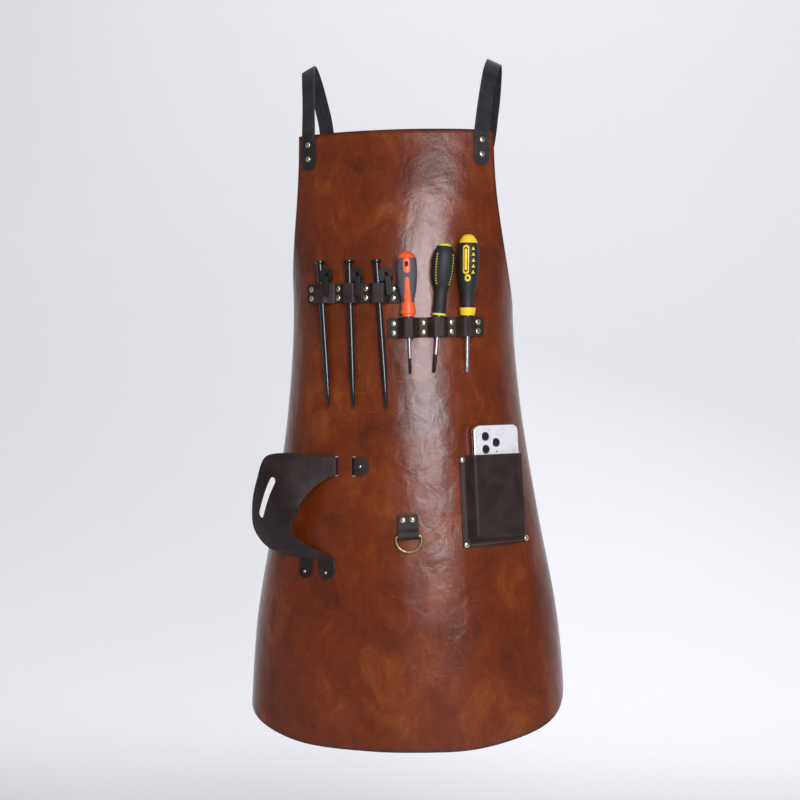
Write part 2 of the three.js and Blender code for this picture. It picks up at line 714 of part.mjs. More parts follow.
// Shoulder straps, side tabs and buckles. A tab's frame has its rivet at the origin, and -y points along
// the tab to the buckle.
function halfGirth(height) {
  const a = bodySize(height, 1);
  const b = bodySize(height, 2);
  return (Math.PI * (3 * (a + b) - Math.sqrt((3 * a + b) * (a + 3 * b)))) / 2;
}

const tabHeight = panelTop - armholeDepth - tabBelowArmhole;
const tabBarOut = foldBarOut(buckleWire);
const tabFrames = { left: -1, right: 1 };
for (const [name, side] of Object.entries(tabFrames)) {
  const turn = side * degrees(90 + tabRise);
  tabFrames[name] = frameOnBody(side * (panelHalfWidth - tabRivetFromEdge), tabHeight, panelFront, turn);
}

// The strap in a tab's frame: [along, inner face], under the frame's front bar and over its heel bar.
const underBar = tabBarOut - buckleWire - buckleGap - strapThickness;
const overBar = tabBarOut + foldRadius(buckleWire) + trimThickness + buckleGap;
const throughBuckle = [
  [-tabBar - buckleLength - 30, underBar - 0.5],
  [-tabBar - buckleLength - 6, underBar],
  [-tabBar - buckleLength + 4, underBar],
  [-tabBar - 3, overBar],
  [-tabBar + 6, overBar],
  [-tabBar + strapTail, overBar],
];

// The strap's middle line, as pairs of a point of its inner face and the way that it faces.
function strapStations(side, tabFrame, lift) {
  const stations = [];
  const inFrame = (frame, y, z) => [
    new THREE.Vector3(0, y, z).applyMatrix4(frame),
    new THREE.Vector3().setFromMatrixColumn(frame, 2),
  ];
  const lastFlat = strapRivetDepths[0] - rivetCapRadius - 1;
  for (const depth of [strapOverlap, ...strapRivetDepths.toReversed(), lastFlat, 0]) {
    const out = panelFront + (depth === 0 ? seatGap : 0);
    stations.push(inFrame(frameOnBody(side * strapFromMiddle, panelTop - depth, out), 0, 0));
  }
  for (const [x, y, z] of overShoulder) {
    const [width, length, height] = shoulderDome;
    const facing = new THREE.Vector3((side * x) / width ** 2, y / length ** 2, (z - panelTop) / height ** 2);
    stations.push([new THREE.Vector3(side * x, y, z), facing.normalize()]);
  }
  for (const [around, height] of downBack) {
    const nearCross = Math.abs(around) <= strapWidth * 1.2;
    const out = bodyGap + (nearCross ? lift : 0);
    stations.push(inFrame(frameOnBody(side * (halfGirth(height) - around), height, out), 0, 0));
  }
  for (const [y, z] of throughBuckle) stations.push(inFrame(tabFrame, y, z));
  return stations;
}

function strapGeometry(stations) {
  const line = new THREE.CatmullRomCurve3(stations.map(([point]) => point), false, "catmullrom", 0.5);
  const facings = new THREE.CatmullRomCurve3(stations.map(([, facing]) => facing), false, "catmullrom", 0.5);
  const rows = (stations.length - 1) * 2;
  const pointAt = (i, j) => {
    const point = line.getPoint(j / rows);
    const across = line.getTangent(j / rows).cross(facings.getPoint(j / rows)).normalize();
    return point.addScaledVector(across, (i - 0.5) * strapWidth);
  };
  return sheet(1, rows, pointAt, strapThickness);
}

// The prong in the frame of its heel bar: an eye, and an arm that rests on the front bar.
function prongGeometry() {
  const eye = buckleWire + seatGap + prongEye;
  const rest = buckleWire + seatGap;
  const shape = new THREE.Shape();
  shape.absarc(0, 0, eye, degrees(200), degrees(460), false);
  shape.lineTo(-buckleLength + 3, rest + prongHeight);
  shape.lineTo(-buckleLength - buckleWire - 2, rest + prongHeight * 0.7);
  shape.lineTo(-buckleLength - buckleWire - 2, rest + 0.2);
  shape.lineTo(-buckleLength + 3, rest);
  const hole = new THREE.Path();
  hole.absarc(0, 0, rest, 0, 2 * Math.PI, true);
  shape.holes.push(hole);
  const extrusion = { depth: prongWidth, bevelEnabled: false, curveSegments: 6 };
  return new THREE.ExtrudeGeometry(shape, extrusion).applyMatrix4(acrossFrom(prongWidth));
}

const strapHoles = {};
const crossFrame = frameOnBody(halfGirth(crossHeight), crossHeight, bodyGap);
const crossHolesFrom = holes.length;
const strapStack = 2 * (strapThickness + seatGap);
rivet("keeper_rivet", crossFrame, strapStack + trimThickness);
const crossHoles = holes.splice(crossHolesFrom);
const keeper = new THREE.CylinderGeometry(keeperRadius, keeperRadius, trimThickness, 24).rotateX(Math.PI / 2);
keeper.applyMatrix4(moved(crossFrame, 0, 0, strapStack + seatGap + trimThickness / 2));
add("back_keeper", cut(keeper, crossHoles), darkBrown);

for (const [name, frame] of Object.entries(tabFrames)) {
  const side = name === "left" ? -1 : 1;
  const bibHolesFrom = holes.length;
  strapRivetDepths.forEach((depth, k) => {
    const place = frameOnBody(side * strapFromMiddle, panelTop - depth);
    rivet(`strap_rivet_${name}_${k + 1}`, place, panelFront + strapThickness);
  });
  strapHoles[name] = holes.slice(bibHolesFrom);
  const tabHolesFrom = holes.length;
  rivet(`side_tab_rivet_${name}`, moved(frame, 0, 0, -panelFront), panelFront + foldStack);
  const slotHalf = prongWidth / 2 + seatGap;
  const eye = buckleWire + prongEye + 2 * seatGap;
  const tabSlot = box([-slotHalf, -tabBar - eye - 3, -10], [slotHalf, -tabBar + eye, 30]);
  const tab = foldedTab(strapWidth, tabLength, tabBar, buckleWire).applyMatrix4(frame);
  add(`side_tab_${name}`, cut(tab, [...holes.slice(tabHolesFrom), tabSlot.applyMatrix4(frame)]), navy);
  const half = strapWidth / 2 + buckleSideGap + buckleWire;
  const corners = [[-half, 0], [-half, -buckleLength], [half, -buckleLength], [half, 0]];
  const barFrame = moved(frame, 0, -tabBar, tabBarOut);
  add(`buckle_frame_${name}`, wireLoop(corners, 3, buckleWire, 32), antiqueBrass, barFrame);
  add(`buckle_prong_${name}`, prongGeometry(), antiqueBrass, barFrame);
}

// The strap from each shoulder crosses the back to the buckle on the other side.
for (const [name, far, side] of [["left", "right", -1], ["right", "left", 1]]) {
  const lift = side > 0 ? strapThickness + seatGap : 0;
  const strap = strapGeometry(strapStations(side, tabFrames[far], lift));
  const slotHalf = prongWidth / 2 + 2 * seatGap;
  const slot = box([-slotHalf, -tabBar - strapSlot.from, -20], [slotHalf, -tabBar - strapSlot.to, 30]);
  slot.applyMatrix4(tabFrames[far]);
  add(`shoulder_strap_${name}`, cut(strap, [...strapHoles[name], ...crossHoles, slot]), navy);
}

// Panel: a flat sheet with a bib, two armholes and a rounded hem, bent round the body. The rows run from
// the hem to the top.
const sideRows = 12;
const armholeRows = 8;
const panelRows = [];
for (let k = 0; k < sideRows; k++) {
  const height = lerp(panelTop - panelLength, panelTop - armholeDepth, k / sideRows);
  panelRows.push({ height, half: panelHalfWidth, hemShare: 1 - k / sideRows });
}
for (let k = armholeRows; k >= 0; k--) {
  const angle = (Math.PI / 2) * (k / armholeRows);
  const half = lerp(panelHalfWidth, bibHalfWidth, Math.cos(angle));
  panelRows.push({ height: panelTop - armholeDepth * Math.sin(angle), half, hemShare: 0 });
}
const panelColumns = 36;

function panelPoint(i, j) {
  const { height, half, hemShare } = panelRows[j];
  const along = lerp(-half, half, i / panelColumns);
  const past = Math.max(Math.abs(along) - hemFlatHalf, 0) / (half - hemFlatHalf);
  const rise = hemRise * (1 - Math.sqrt(Math.max(1 - past ** 2, 0)));
  return onBody(along, height + rise * hemShare);
}

const slits = slingGeometry(slitRows(seatGap), seatGap, 1);
const panel = sheet(panelColumns, panelRows.length - 1, panelPoint, panelThickness);
add("apron_panel", cut(panel, [...holes, slits]), cognac);

export default apron;
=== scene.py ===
import math

import bpy
import numpy as np
from mathutils import Matrix, Vector


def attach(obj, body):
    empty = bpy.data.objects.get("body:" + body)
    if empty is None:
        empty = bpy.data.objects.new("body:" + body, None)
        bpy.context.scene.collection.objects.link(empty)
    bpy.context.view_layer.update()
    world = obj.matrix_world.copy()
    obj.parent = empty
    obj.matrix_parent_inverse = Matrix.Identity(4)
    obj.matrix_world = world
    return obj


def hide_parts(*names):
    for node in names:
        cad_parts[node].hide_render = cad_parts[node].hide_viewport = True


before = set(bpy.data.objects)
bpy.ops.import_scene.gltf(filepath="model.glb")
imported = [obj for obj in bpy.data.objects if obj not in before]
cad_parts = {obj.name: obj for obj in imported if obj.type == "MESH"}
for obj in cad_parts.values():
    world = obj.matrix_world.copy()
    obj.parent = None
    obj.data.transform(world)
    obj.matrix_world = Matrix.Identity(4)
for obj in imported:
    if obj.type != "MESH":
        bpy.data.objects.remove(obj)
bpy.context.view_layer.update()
print("frame loaded:", len(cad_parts), "nodes")

mm = 0.001

studio = {
    "cameraTurn": 8,  # degrees, towards the apron's right side
    "distance": 2.2,
    "height": -0.494,
    "sidestep": -0.0059,
    "roll": -0.5,
    "lens": 66.7,
    "floor": -1.42,
    "floorFront": -8,
    "wall": 3.4,  # how far behind the apron the wall stands
    "sweep": 1.6,  # the radius where the floor turns up into the wall
    "wallTop": 5,
    "halfWidth": 8,
    "paper": (0.78, 0.785, 0.8, 1),
    "paperGlow": 0.42,
    "air": (0.8, 0.82, 0.86, 1),
    "airStrength": 0.22,
    "airSeen": 0.9,  # the air's brightness where it shows as the backdrop
}


def makeCamera():
    turn = math.radians(studio["cameraTurn"])
    right = Vector((math.cos(turn), math.sin(turn), 0))
    ahead = Vector((-math.sin(turn), math.cos(turn), 0))
    data = bpy.data.cameras.new("camera")
    data.lens = studio["lens"]
    data.sensor_width = 36
    data.clip_end = 60
    camera = bpy.data.objects.new("camera", data)
    camera.location = -ahead * studio["distance"] + right * studio["sidestep"]
    camera.location.z = studio["height"]
    facing = ahead.to_track_quat("-Z", "Y").to_matrix().to_4x4()
    tilt = facing @ Matrix.Rotation(math.radians(studio["roll"]), 4, "Z")
    camera.rotation_euler = tilt.to_euler()
    bpy.context.scene.collection.objects.link(camera)
    bpy.context.scene.camera = camera


# name, azimuth from the front towards +X, distance, height, width, tall, power
softboxes = [
    ("keyBox", 17, 2.1, -0.04, 0.7, 1.15, 35),
    ("topBox", -25, 1.5, 2.1, 1.6, 1.4, 5),
    ("backBox", 165, 2.4, 1.0, 1.8, 1.6, 26),
    ("wallBox", 180, 1.6, 2.2, 3.0, 1.0, 22),
]


def makeLights():
    middle = Vector((0, 0, -0.5))
    for name, azimuth, distance, height, width, tall, power in softboxes:
        data = bpy.data.lights.new(name, "AREA")
        data.shape = "RECTANGLE"
        data.size = width
        data.size_y = tall
        data.energy = power
        data.color = (0.96, 0.94, 1)
        lamp = bpy.data.objects.new(name, data)
        turn = math.radians(azimuth)
        lamp.location = (distance * math.sin(turn), -distance * math.cos(turn), height)
        aim = Vector((0, studio["wall"], -0.3)) if name == "wallBox" else middle
        lamp.rotation_euler = (aim - lamp.location).to_track_quat("-Z", "Y").to_euler()
        bpy.context.scene.collection.objects.link(lamp)
    world = bpy.data.worlds.new("air")
    bpy.context.scene.world = world
    world.use_nodes = True
    background = world.node_tree.nodes["Background"]
    background.inputs["Color"].default_value = studio["air"]
    seen = Wire(world.node_tree).node("ShaderNodeLightPath", {}, {})  # 1 where the air shows as the backdrop
    strength = seen * (studio["airSeen"] - studio["airStrength"]) + studio["airStrength"]
    world.node_tree.links.new(strength.socket, background.inputs["Strength"])
    bpy.context.scene.view_settings.view_transform = "Standard"


class Wire:
    # a socket whose arithmetic adds Math nodes
    def __init__(self, tree, socket=None):
        self.tree = tree
        self.socket = socket

    def node(self, kind, settings, inputs, output=0):
        made = self.tree.nodes.new(kind)
        for name, value in settings.items():
            if name == "stops":
                setStops(made.color_ramp, value)
            else:
                setattr(made, name, value)
        for name, value in inputs.items():
            if isinstance(value, Wire):
                self.tree.links.new(value.socket, made.inputs[name])
            else:
                made.inputs[name].default_value = value
        return Wire(self.tree, made.outputs[output])

    def maths(self, operation, first, second=0.0):
        return self.node("ShaderNodeMath", {"operation": operation}, {0: first, 1: second})

    def __add__(self, other):
        return self.maths("ADD", self, other)

    def __radd__(self, other):
        return self.maths("ADD", other, self)

    def __sub__(self, other):
        return self.maths("SUBTRACT", self, other)

    def __rsub__(self, other):
        return self.maths("SUBTRACT", other, self)

    def __mul__(self, other):
        return self.maths("MULTIPLY", self, other)

    def __rmul__(self, other):
        return self.maths("MULTIPLY", other, self)

    def stepped(self, low, high):
        settings = {"interpolation_type": "SMOOTHSTEP"}
        return self.node("ShaderNodeMapRange", settings, {0: self, 1: low, 2: high, 3: 0.0, 4: 1.0})

    def blended(self, first, second):
        return self.node("ShaderNodeMix", {"data_type": "RGBA"}, {0: self, 6: first, 7: second}, 2)


def setStops(ramp, stops):
    while len(ramp.elements) < len(stops):
        ramp.elements.new(0.5)
    for element, (place, shade) in zip(ramp.elements, stops):
        element.position = place
        element.color = (shade, shade, shade, 1) if isinstance(shade, (int, float)) else shade


def startMaterial(name):
    material = bpy.data.materials.new(name)
    material.use_nodes = True
    return material, Wire(material.node_tree)


def setShader(material, values):
    shader = material.node_tree.nodes["Principled BSDF"]
    for name, value in values.items():
        if isinstance(value, Wire):
            material.node_tree.links.new(value.socket, shader.inputs[name])
        else:
            shader.inputs[name].default_value = value
    return material


def place(wire, stretch=(1, 1, 1)):
    spot = wire.node("ShaderNodeTexCoord", {}, {}, 3)
    return wire.node("ShaderNodeVectorMath", {"operation": "MULTIPLY"}, {0: spot, 1: stretch})


def noise(wire, spot, scale, detail=4, rough=0.55, twist=0.0):
    inputs = {"Vector": spot, "Scale": scale, "Detail": detail, "Roughness": rough, "Distortion": twist}
    return wire.node("ShaderNodeTexNoise", {}, inputs)


def pebbles(wire, spot, scale):
    inputs = {"Vector": spot, "Scale": scale}
    cells = wire.node("ShaderNodeTexVoronoi", {"feature": "DISTANCE_TO_EDGE"}, inputs)
    return cells.stepped(0.0, 0.22)


def bump(wire, height, strength, depth, below=None):
    inputs = {"Height": height, "Strength": strength, "Distance": depth}
    if below is not None:
        inputs["Normal"] = below
    return wire.node("ShaderNodeBump", {}, inputs)


def marked(wire, name):
    return wire.node("ShaderNodeAttribute", {"attribute_name": name}, {}, 2)


# Oiled, waxed and lightly polished cowhide: clouds of lighter pull-up, a fine grain, darker cut edges.
hide = {
    "deep": (0.08, 0.0145, 0.0035, 1),
    "middle": (0.165, 0.0285, 0.0045, 1),
    "light": (0.27, 0.064, 0.0105, 1),
    "edge": (0.028, 0.007, 0.003, 1),
    "scuff": (0.42, 0.15, 0.045, 1),
    "cloudScale": 6.5,
    "patchScale": 24,
    "grainScale": 760,
    "roughness": 0.13,
    "roughnessSpread": 0.1,
}


def hideMaterial():
    material, wire = startMaterial("cognac_hide")
    spot = place(wire)
    clouds = noise(wire, spot, hide["cloudScale"], 5, 0.6, 0.6)
    patches = noise(wire, place(wire, (1, 1, 0.6)), hide["patchScale"], 6, 0.62, 1.2)
    speckle = noise(wire, spot, 260, 3, 0.6)
    tone = clouds * 0.5 + patches * 0.4 + speckle * 0.1
    colour = tone.stepped(0.34, 0.54).blended(hide["deep"], hide["middle"])
    colour = tone.stepped(0.5, 0.68).blended(colour, hide["light"])
    scuffs = noise(wire, place(wire, (1, 1, 5)), 46, 5, 0.7, 0.3).stepped(0.6, 0.78)
    colour = (scuffs * 0.3).blended(colour, hide["scuff"])
    edge = marked(wire, "nearEdge")
    colour = (edge * 0.85).blended(colour, hide["edge"])
    grain = pebbles(wire, spot, hide["grainScale"])
    creases = noise(wire, spot, 95, 5, 0.65, 0.8)
    waves = noise(wire, place(wire, (1, 1, 0.6)), 9, 3, 0.5)
    ripples = noise(wire, place(wire, (1, 1, 0.8)), 34, 3, 0.55, 0.6)
    soft = bump(wire, waves * 0.8 + ripples * 0.16, 0.6, 0.009)
    normal = bump(wire, grain * 0.3 + creases * 1.6, 0.3, 0.0003, soft)
    shine = patches * hide["roughnessSpread"] + hide["roughness"] + (1 - grain) * 0.06
    return setShader(material, {
        "Base Color": colour, "Roughness": shine, "Normal": normal, "Specular IOR Level": 0.5,
    })


# The underside of the same hide: brushed fibre with no shine.
def fleshMaterial(name, dark, light):
    material, wire = startMaterial(name)
    fibres = noise(wire, place(wire, (1, 1, 0.35)), 420, 5, 0.7, 1.5)
    patches = noise(wire, place(wire), 30, 4, 0.6, 0.5)
    tone = fibres * 0.6 + patches * 0.4
    colour = tone.stepped(0.36, 0.66).blended(dark, light)
    normal = bump(wire, fibres, 0.6, 0.0006)
    return setShader(material, {
        "Base Color": colour, "Roughness": 0.88 + fibres * 0.1, "Normal": normal, "Specular IOR Level": 0.2,
    })


# Dyed trim leather, half matt, with fine pores and rubbed edges.
def trimMaterial(name, dark, light, roughness, poreScale=900.0):
    material, wire = startMaterial(name)
    spot = place(wire)
    clouds = noise(wire, spot, 22, 5, 0.6, 0.7)
    colour = clouds.stepped(0.38, 0.66).blended(dark, light)
    edge = marked(wire, "nearEdge")
    rubbed = noise(wire, spot, 140, 4, 0.7).stepped(0.42, 0.62) * edge
    colour = (rubbed * 0.35).blended(colour, tuple(min(3.2 * v, 1) for v in light[:3]) + (1,))
    grain = pebbles(wire, spot, poreScale)
    creases = noise(wire, spot, 150, 5, 0.65, 0.8)
    normal = bump(wire, grain * 0.6 + creases * 0.9, 0.4, 0.00045)
    shine = roughness + clouds * 0.16 + (1 - grain) * 0.06
    return setShader(material, {
        "Base Color": colour, "Roughness": shine, "Normal": normal, "Specular IOR Level": 0.38,
    })


def edgeMaterial(name, dark, light):
    material, wire = startMaterial(name)
    fibres = noise(wire, place(wire), 650, 4, 0.7)
    colour = fibres.stepped(0.35, 0.68).blended(dark, light)
    return setShader(material, {
        "Base Color": colour, "Roughness": 0.62 + fibres * 0.15, "Normal": bump(wire, fibres, 0.5, 0.0004),
    })


# Metal with a cloudy tarnish and fine scratches.
def metalMaterial(name, dark, light, roughness, spread, low, high):
    material, wire = startMaterial(name)
    tarnish = noise(wire, place(wire), 310, 5, 0.65, 0.6).stepped(low, high)
    scratches = noise(wire, place(wire, (1, 1, 14)), 520, 3, 0.6)
    colour = tarnish.blended(dark, light)
    shine = roughness + (1 - tarnish) * spread + scratches * 0.08
    return setShader(material, {
        "Base Color": colour, "Metallic": 1.0, "Roughness": shine,
        "Normal": bump(wire, scratches, 0.12, 0.0002),
    })


# Enamel, paint and moulded plastic: a slight orange peel and a few duller marks.
def moulded(name, colour, roughness, coat=0.0, peel=0.12, metallic=0.0, texture=700.0):
    material, wire = startMaterial(name)
    skin = noise(wire, place(wire), texture, 3, 0.6)
    marks = noise(wire, place(wire), 80, 5, 0.7, 0.8).stepped(0.5, 0.72)
    darker = tuple(0.82 * v for v in colour) + (1,)
    lighter = tuple(min(1.12 * v + 0.002, 1) for v in colour) + (1,)
    shade = marks.blended(lighter, darker)
    return setShader(material, {
        "Base Color": shade, "Metallic": metallic, "Roughness": roughness + marks * 0.12,
        "Normal": bump(wire, skin, peel, 0.0004), "Coat Weight": coat, "Coat Roughness": 0.12,
    })


def threadMaterial():
    material, wire = startMaterial("waxed_thread")
    strands = wire.node("ShaderNodeTexWave", {"bands_direction": "DIAGONAL"},
                        {"Vector": place(wire), "Scale": 900.0, "Distortion": 1.5, "Detail": 2.0})
    colour = strands.blended((0.19, 0.052, 0.02, 1), (0.42, 0.14, 0.06, 1))
    return setShader(material, {
        "Base Color": colour, "Roughness": 0.6 + strands * 0.1, "Normal": bump(wire, strands, 0.6, 0.0003),
    })


cognac = hideMaterial()
cognacFlesh = fleshMaterial("cognac_flesh", (0.09, 0.04, 0.02, 1), (0.19, 0.1, 0.055, 1))
cognacEdge = edgeMaterial("cognac_edge", (0.035, 0.011, 0.006, 1), (0.11, 0.035, 0.014, 1))
bark = trimMaterial("bark_leather", (0.0165, 0.008, 0.0072, 1), (0.037, 0.0195, 0.0175, 1), 0.36)
tanFlesh = fleshMaterial("tan_flesh", (0.13, 0.058, 0.034, 1), (0.3, 0.155, 0.09, 1))
barkEdge = edgeMaterial("bark_edge", (0.012, 0.007, 0.006, 1), (0.05, 0.028, 0.022, 1))
ink = trimMaterial("ink_leather", (0.0145, 0.0148, 0.017, 1), (0.034, 0.0352, 0.04, 1), 0.38)
inkFlesh = fleshMaterial("ink_flesh", (0.018, 0.017, 0.018, 1), (0.045, 0.042, 0.042, 1))
inkEdge = edgeMaterial("ink_edge", (0.006, 0.006, 0.007, 1), (0.024, 0.024, 0.028, 1))
paleBrass = metalMaterial("pale_brass", (0.4, 0.31, 0.17, 1), (0.83, 0.75, 0.55, 1), 0.17, 0.22, 0.3, 0.5)
oldBrass = metalMaterial("old_brass", (0.24, 0.17, 0.075, 1), (0.5, 0.39, 0.19, 1), 0.26, 0.2, 0.35, 0.65)
steel = metalMaterial("bright_steel", (0.42, 0.42, 0.43, 1), (0.6, 0.6, 0.62, 1), 0.26, 0.12, 0.35, 0.65)
tipBlack = moulded("blued_tip", (0.02, 0.02, 0.023), 0.34, 0.0, 0.2, 0.6)
enamel = moulded("black_enamel", (0.008, 0.008, 0.009), 0.2, 0.3, 0.06)
iron = moulded("black_iron", (0.011, 0.011, 0.012), 0.5, 0.0, 0.5, 0.0, 900.0)
orange = moulded("orange_grip", (0.86, 0.115, 0.022), 0.42, 0.1, 0.2)
greyGrip = moulded("grey_grip", (0.085, 0.09, 0.098), 0.62, 0.0, 0.5, 0.0, 1500.0)
blackGrip = moulded("black_grip", (0.013, 0.014, 0.0155), 0.55, 0.0, 0.5, 0.0, 1500.0)
lime = moulded("lime_trim", (0.66, 0.72, 0.03), 0.45, 0.1)
yellow = moulded("yellow_trim", (0.86, 0.6, 0.02), 0.4, 0.15)
holeBlack = moulded("deep_black", (0.004, 0.004, 0.004), 0.7)
whiteGlass = moulded("white_glass", (0.74, 0.75, 0.78), 0.12, 1.0, 0.02)
silverEdge = metalMaterial("silver_edge", (0.5, 0.5, 0.52, 1), (0.78, 0.78, 0.8, 1), 0.16, 0.1, 0.3, 0.6)
lensGlass = moulded("lens_glass", (0.006, 0.007, 0.011), 0.05, 1.0, 0.0)
thread = threadMaterial()
print("materials made")


def toObject(name, points, faces, materials, faceMaterial=None, smooth=True):
    mesh = bpy.data.meshes.new(name)
    mesh.from_pydata((np.asarray(points) * mm).tolist(), [], [list(map(int, f)) for f in faces])
    for material in materials:
        mesh.materials.append(material)
    if faceMaterial is not None:
        mesh.polygons.foreach_set("material_index", np.asarray(faceMaterial, np.int32))
    mesh.polygons.foreach_set("use_smooth", [smooth] * len(mesh.polygons))
    mesh.update()
    made = bpy.data.objects.new(name, mesh)
    bpy.context.scene.collection.objects.link(made)
    return made


def settled(piece):
    # applies the modifiers
    bpy.context.view_layer.update()
    shaped = bpy.data.meshes.new_from_object(piece.evaluated_get(bpy.context.evaluated_depsgraph_get()))
    piece.modifiers.clear()
    piece.data = shaped
    return piece


def softenEdges(piece, width, segments=2, angle=40):
    edge = piece.modifiers.new("soften", "BEVEL")
    edge.width = width * mm
    edge.segments = segments
    edge.limit_method = "ANGLE"
    edge.angle_limit = math.radians(angle)
    return piece


def gridFaces(rows, columns, keep=None):
    # rows and columns of points; keep is a mask of the cells
    index = np.arange(rows * columns).reshape(rows, columns)
    a, b = index[:-1, :-1], index[:-1, 1:]
    c, d = index[1:, 1:], index[1:, :-1]
    quads = np.stack([a, b, c, d], -1)
    return quads.reshape(-1, 4) if keep is None else quads[keep]


def leather(name, points, thickness, materials, nearEdge=None, keep=None, soften=0.5, cutters=()):
    # points are the middle of the sheet, rows by columns, with the grain side towards right cross up
    rows, columns = points.shape[:2]
    piece = toObject(name, points.reshape(-1, 3), gridFaces(rows, columns, keep), materials)
    if nearEdge is not None:
        layer = piece.data.attributes.new("nearEdge", "FLOAT", "POINT")
        layer.data.foreach_set("value", np.asarray(nearEdge, np.float32).ravel())
    solid = piece.modifiers.new("thickness", "SOLIDIFY")
    solid.thickness = thickness * mm
    solid.offset = 0
    solid.material_offset = 1
    solid.material_offset_rim = 2
    settled(piece)
    for cutter in cutters:
        hole = piece.modifiers.new("hole", "BOOLEAN")
        hole.operation = "DIFFERENCE"
        hole.object = cutter
        hole.solver = "EXACT"
    if cutters:
        settled(piece)
        for cutter in cutters:
            bpy.data.objects.remove(cutter)
    if soften:
        softenEdges(piece, soften, 2, 50)
        settled(piece)
    piece.data.polygons.foreach_set("use_smooth", [True] * len(piece.data.polygons))
    return piece


def edgeShade(distance, reach):
    return np.clip(1 - np.asarray(distance) / reach, 0, 1) ** 1.5


def rounded(u, reach, corner):
    # how far the ends of a strip stand in at a distance u from its tip, for a round tip
    past = np.clip(1 - u / corner, 0, 1)
    return reach * (1 - np.sqrt(np.clip(1 - past ** 2, 0, 1)))


def arc(x, y, wide, high, start, stop, count):
    # points on an arc round x, y, between two angles in degrees
    turns = np.radians(np.linspace(start, stop, count))
    return [[x + wide * math.cos(a), y + high * math.sin(a)] for a in turns]


def tubeFaces(rings, sides, closed=False):
    # quads from each ring of points to the next, and from the last to the first if closed
    faces = []
    for j in range(rings if closed else rings - 1):
        n = (j + 1) % rings
        for i in range(sides):
            k = (i + 1) % sides
            faces.append([j * sides + i, j * sides + k, n * sides + k, n * sides + i])
    return faces


def tubeEnds(rings, sides):
    last = (rings - 1) * sides
    return [list(range(sides))[::-1], [last + i for i in range(sides)]]


def lathe(outline, sides):
    # outline is [radius, height]; the axis is y
    outline = np.asarray(outline, float)
    turns = np.radians(np.linspace(0, 360, sides + 1)[:sides])
    points = np.stack([
        outline[:, :1] * np.sin(turns), np.repeat(outline[:, 1:], sides, 1), outline[:, :1] * np.cos(turns),
    ], -1)
    return points.reshape(-1, 3), tubeFaces(len(outline), sides)


def upright(points):
    # turns a lathed form's axis from y to z
    return points[:, [0, 2, 1]] * [1, -1, 1]


def curveThrough(points, at):
    # Catmull-Rom through the points, at fractional indices
    points = np.asarray(points, float)
    padded = np.vstack([2 * points[0] - points[1], points, 2 * points[-1] - points[-2]])
    at = np.asarray(at, float)
    k = np.clip(np.floor(at).astype(int), 0, len(points) - 2)
    t = (at - k)[:, None]
    p0, p1, p2, p3 = padded[k], padded[k + 1], padded[k + 2], padded[k + 3]
    a, b = (p2 - p0) / 2, (p3 - p1) / 2
    return p1 + a * t + (3 * (p2 - p1) - 2 * a - b) * t ** 2 + (2 * (p1 - p2) + a + b) * t ** 3


def merged(groups):
    # joins [points, faces, material] groups into one mesh
    points, faces, materials, start = [], [], [], 0
    for group, quads, material in groups:
        points.append(np.asarray(group, float))
        faces += [[int(v) + start for v in quad] for quad in quads]
        materials += [material] * len(quads)
        start += len(group)
    return np.vstack(points), faces, materials


def bentWire(outline, steps, radius, sides):
    # a closed wire in x and y, on a smooth curve through the outline
    closed = np.vstack([outline, outline[:3]])
    flat = curveThrough(closed, np.linspace(1, len(outline) + 1, steps + 1)[:-1])
    path = np.column_stack([flat, np.zeros(len(flat))])
    along = units(np.roll(path, -1, 0) - np.roll(path, 1, 0))
    side = units(np.cross(along, [0, 0, 1.0]))
    over = np.cross(side, along)
    turns = np.linspace(0, 2 * np.pi, sides, endpoint=False)[:, None]
    ring = path[:, None] + radius * (np.cos(turns) * side[:, None] + np.sin(turns) * over[:, None])
    return ring.reshape(-1, 3), tubeFaces(len(path), sides, True)


def plate(outline, low, high, holes=(), soften=0.5):
    # a flat plate in x and y with round holes, as points and faces
    curve = bpy.data.curves.new("plate", "CURVE")
    curve.dimensions = "2D"
    curve.fill_mode = "BOTH"
    curve.extrude = (high - low) / 2 * mm - soften * mm
    curve.bevel_depth = soften * mm
    curve.bevel_resolution = 1
    curve.offset = -soften * mm
    rings = [outline]
    for x, y, radius in holes:
        turns = np.linspace(0, 2 * np.pi, 20, endpoint=False)
        rings.append(np.stack([x + radius * np.cos(turns), y - radius * np.sin(turns)], 1))
    for ring in rings:
        spline = curve.splines.new("POLY")
        spline.points.add(len(ring) - 1)
        for point, (x, y) in zip(spline.points, ring):
            point.co = (x * mm, y * mm, 0, 1)
        spline.use_cyclic_u = True
    made = bpy.data.objects.new("plate", curve)
    bpy.context.scene.collection.objects.link(made)
    bpy.context.view_layer.update()
    mesh = bpy.data.meshes.new_from_object(made.evaluated_get(bpy.context.evaluated_depsgraph_get()))
    points = np.array([v.co for v in mesh.vertices]) / mm + [0, 0, (low + high) / 2]
    faces = [list(p.vertices) for p in mesh.polygons]
    bpy.data.objects.remove(made)
    return points, faces


def roundedBox(left, bottom, right, top, corner, steps=6):
    ring = []
    for x, y, start in [(right, bottom, -90), (right, top, 0), (left, top, 90), (left, bottom, 180)]:
        middleX = x - corner if x == right else x + corner
        middleY = y - corner if y == top else y + corner
        ring += arc(middleX, middleY, corner, corner, start, start + 90, steps + 1)
    return np.array(ring)


def put(points, place):
    return np.asarray(points) @ place[:3, :3].T + place[:3, 3]


def units(vectors):
    return vectors / np.linalg.norm(vectors, axis=-1)[..., None]


def runsAlong(path):
    # how far each point of a path is along it
    return np.concatenate([[0], np.cumsum(np.linalg.norm(np.diff(path, axis=0), axis=1))])


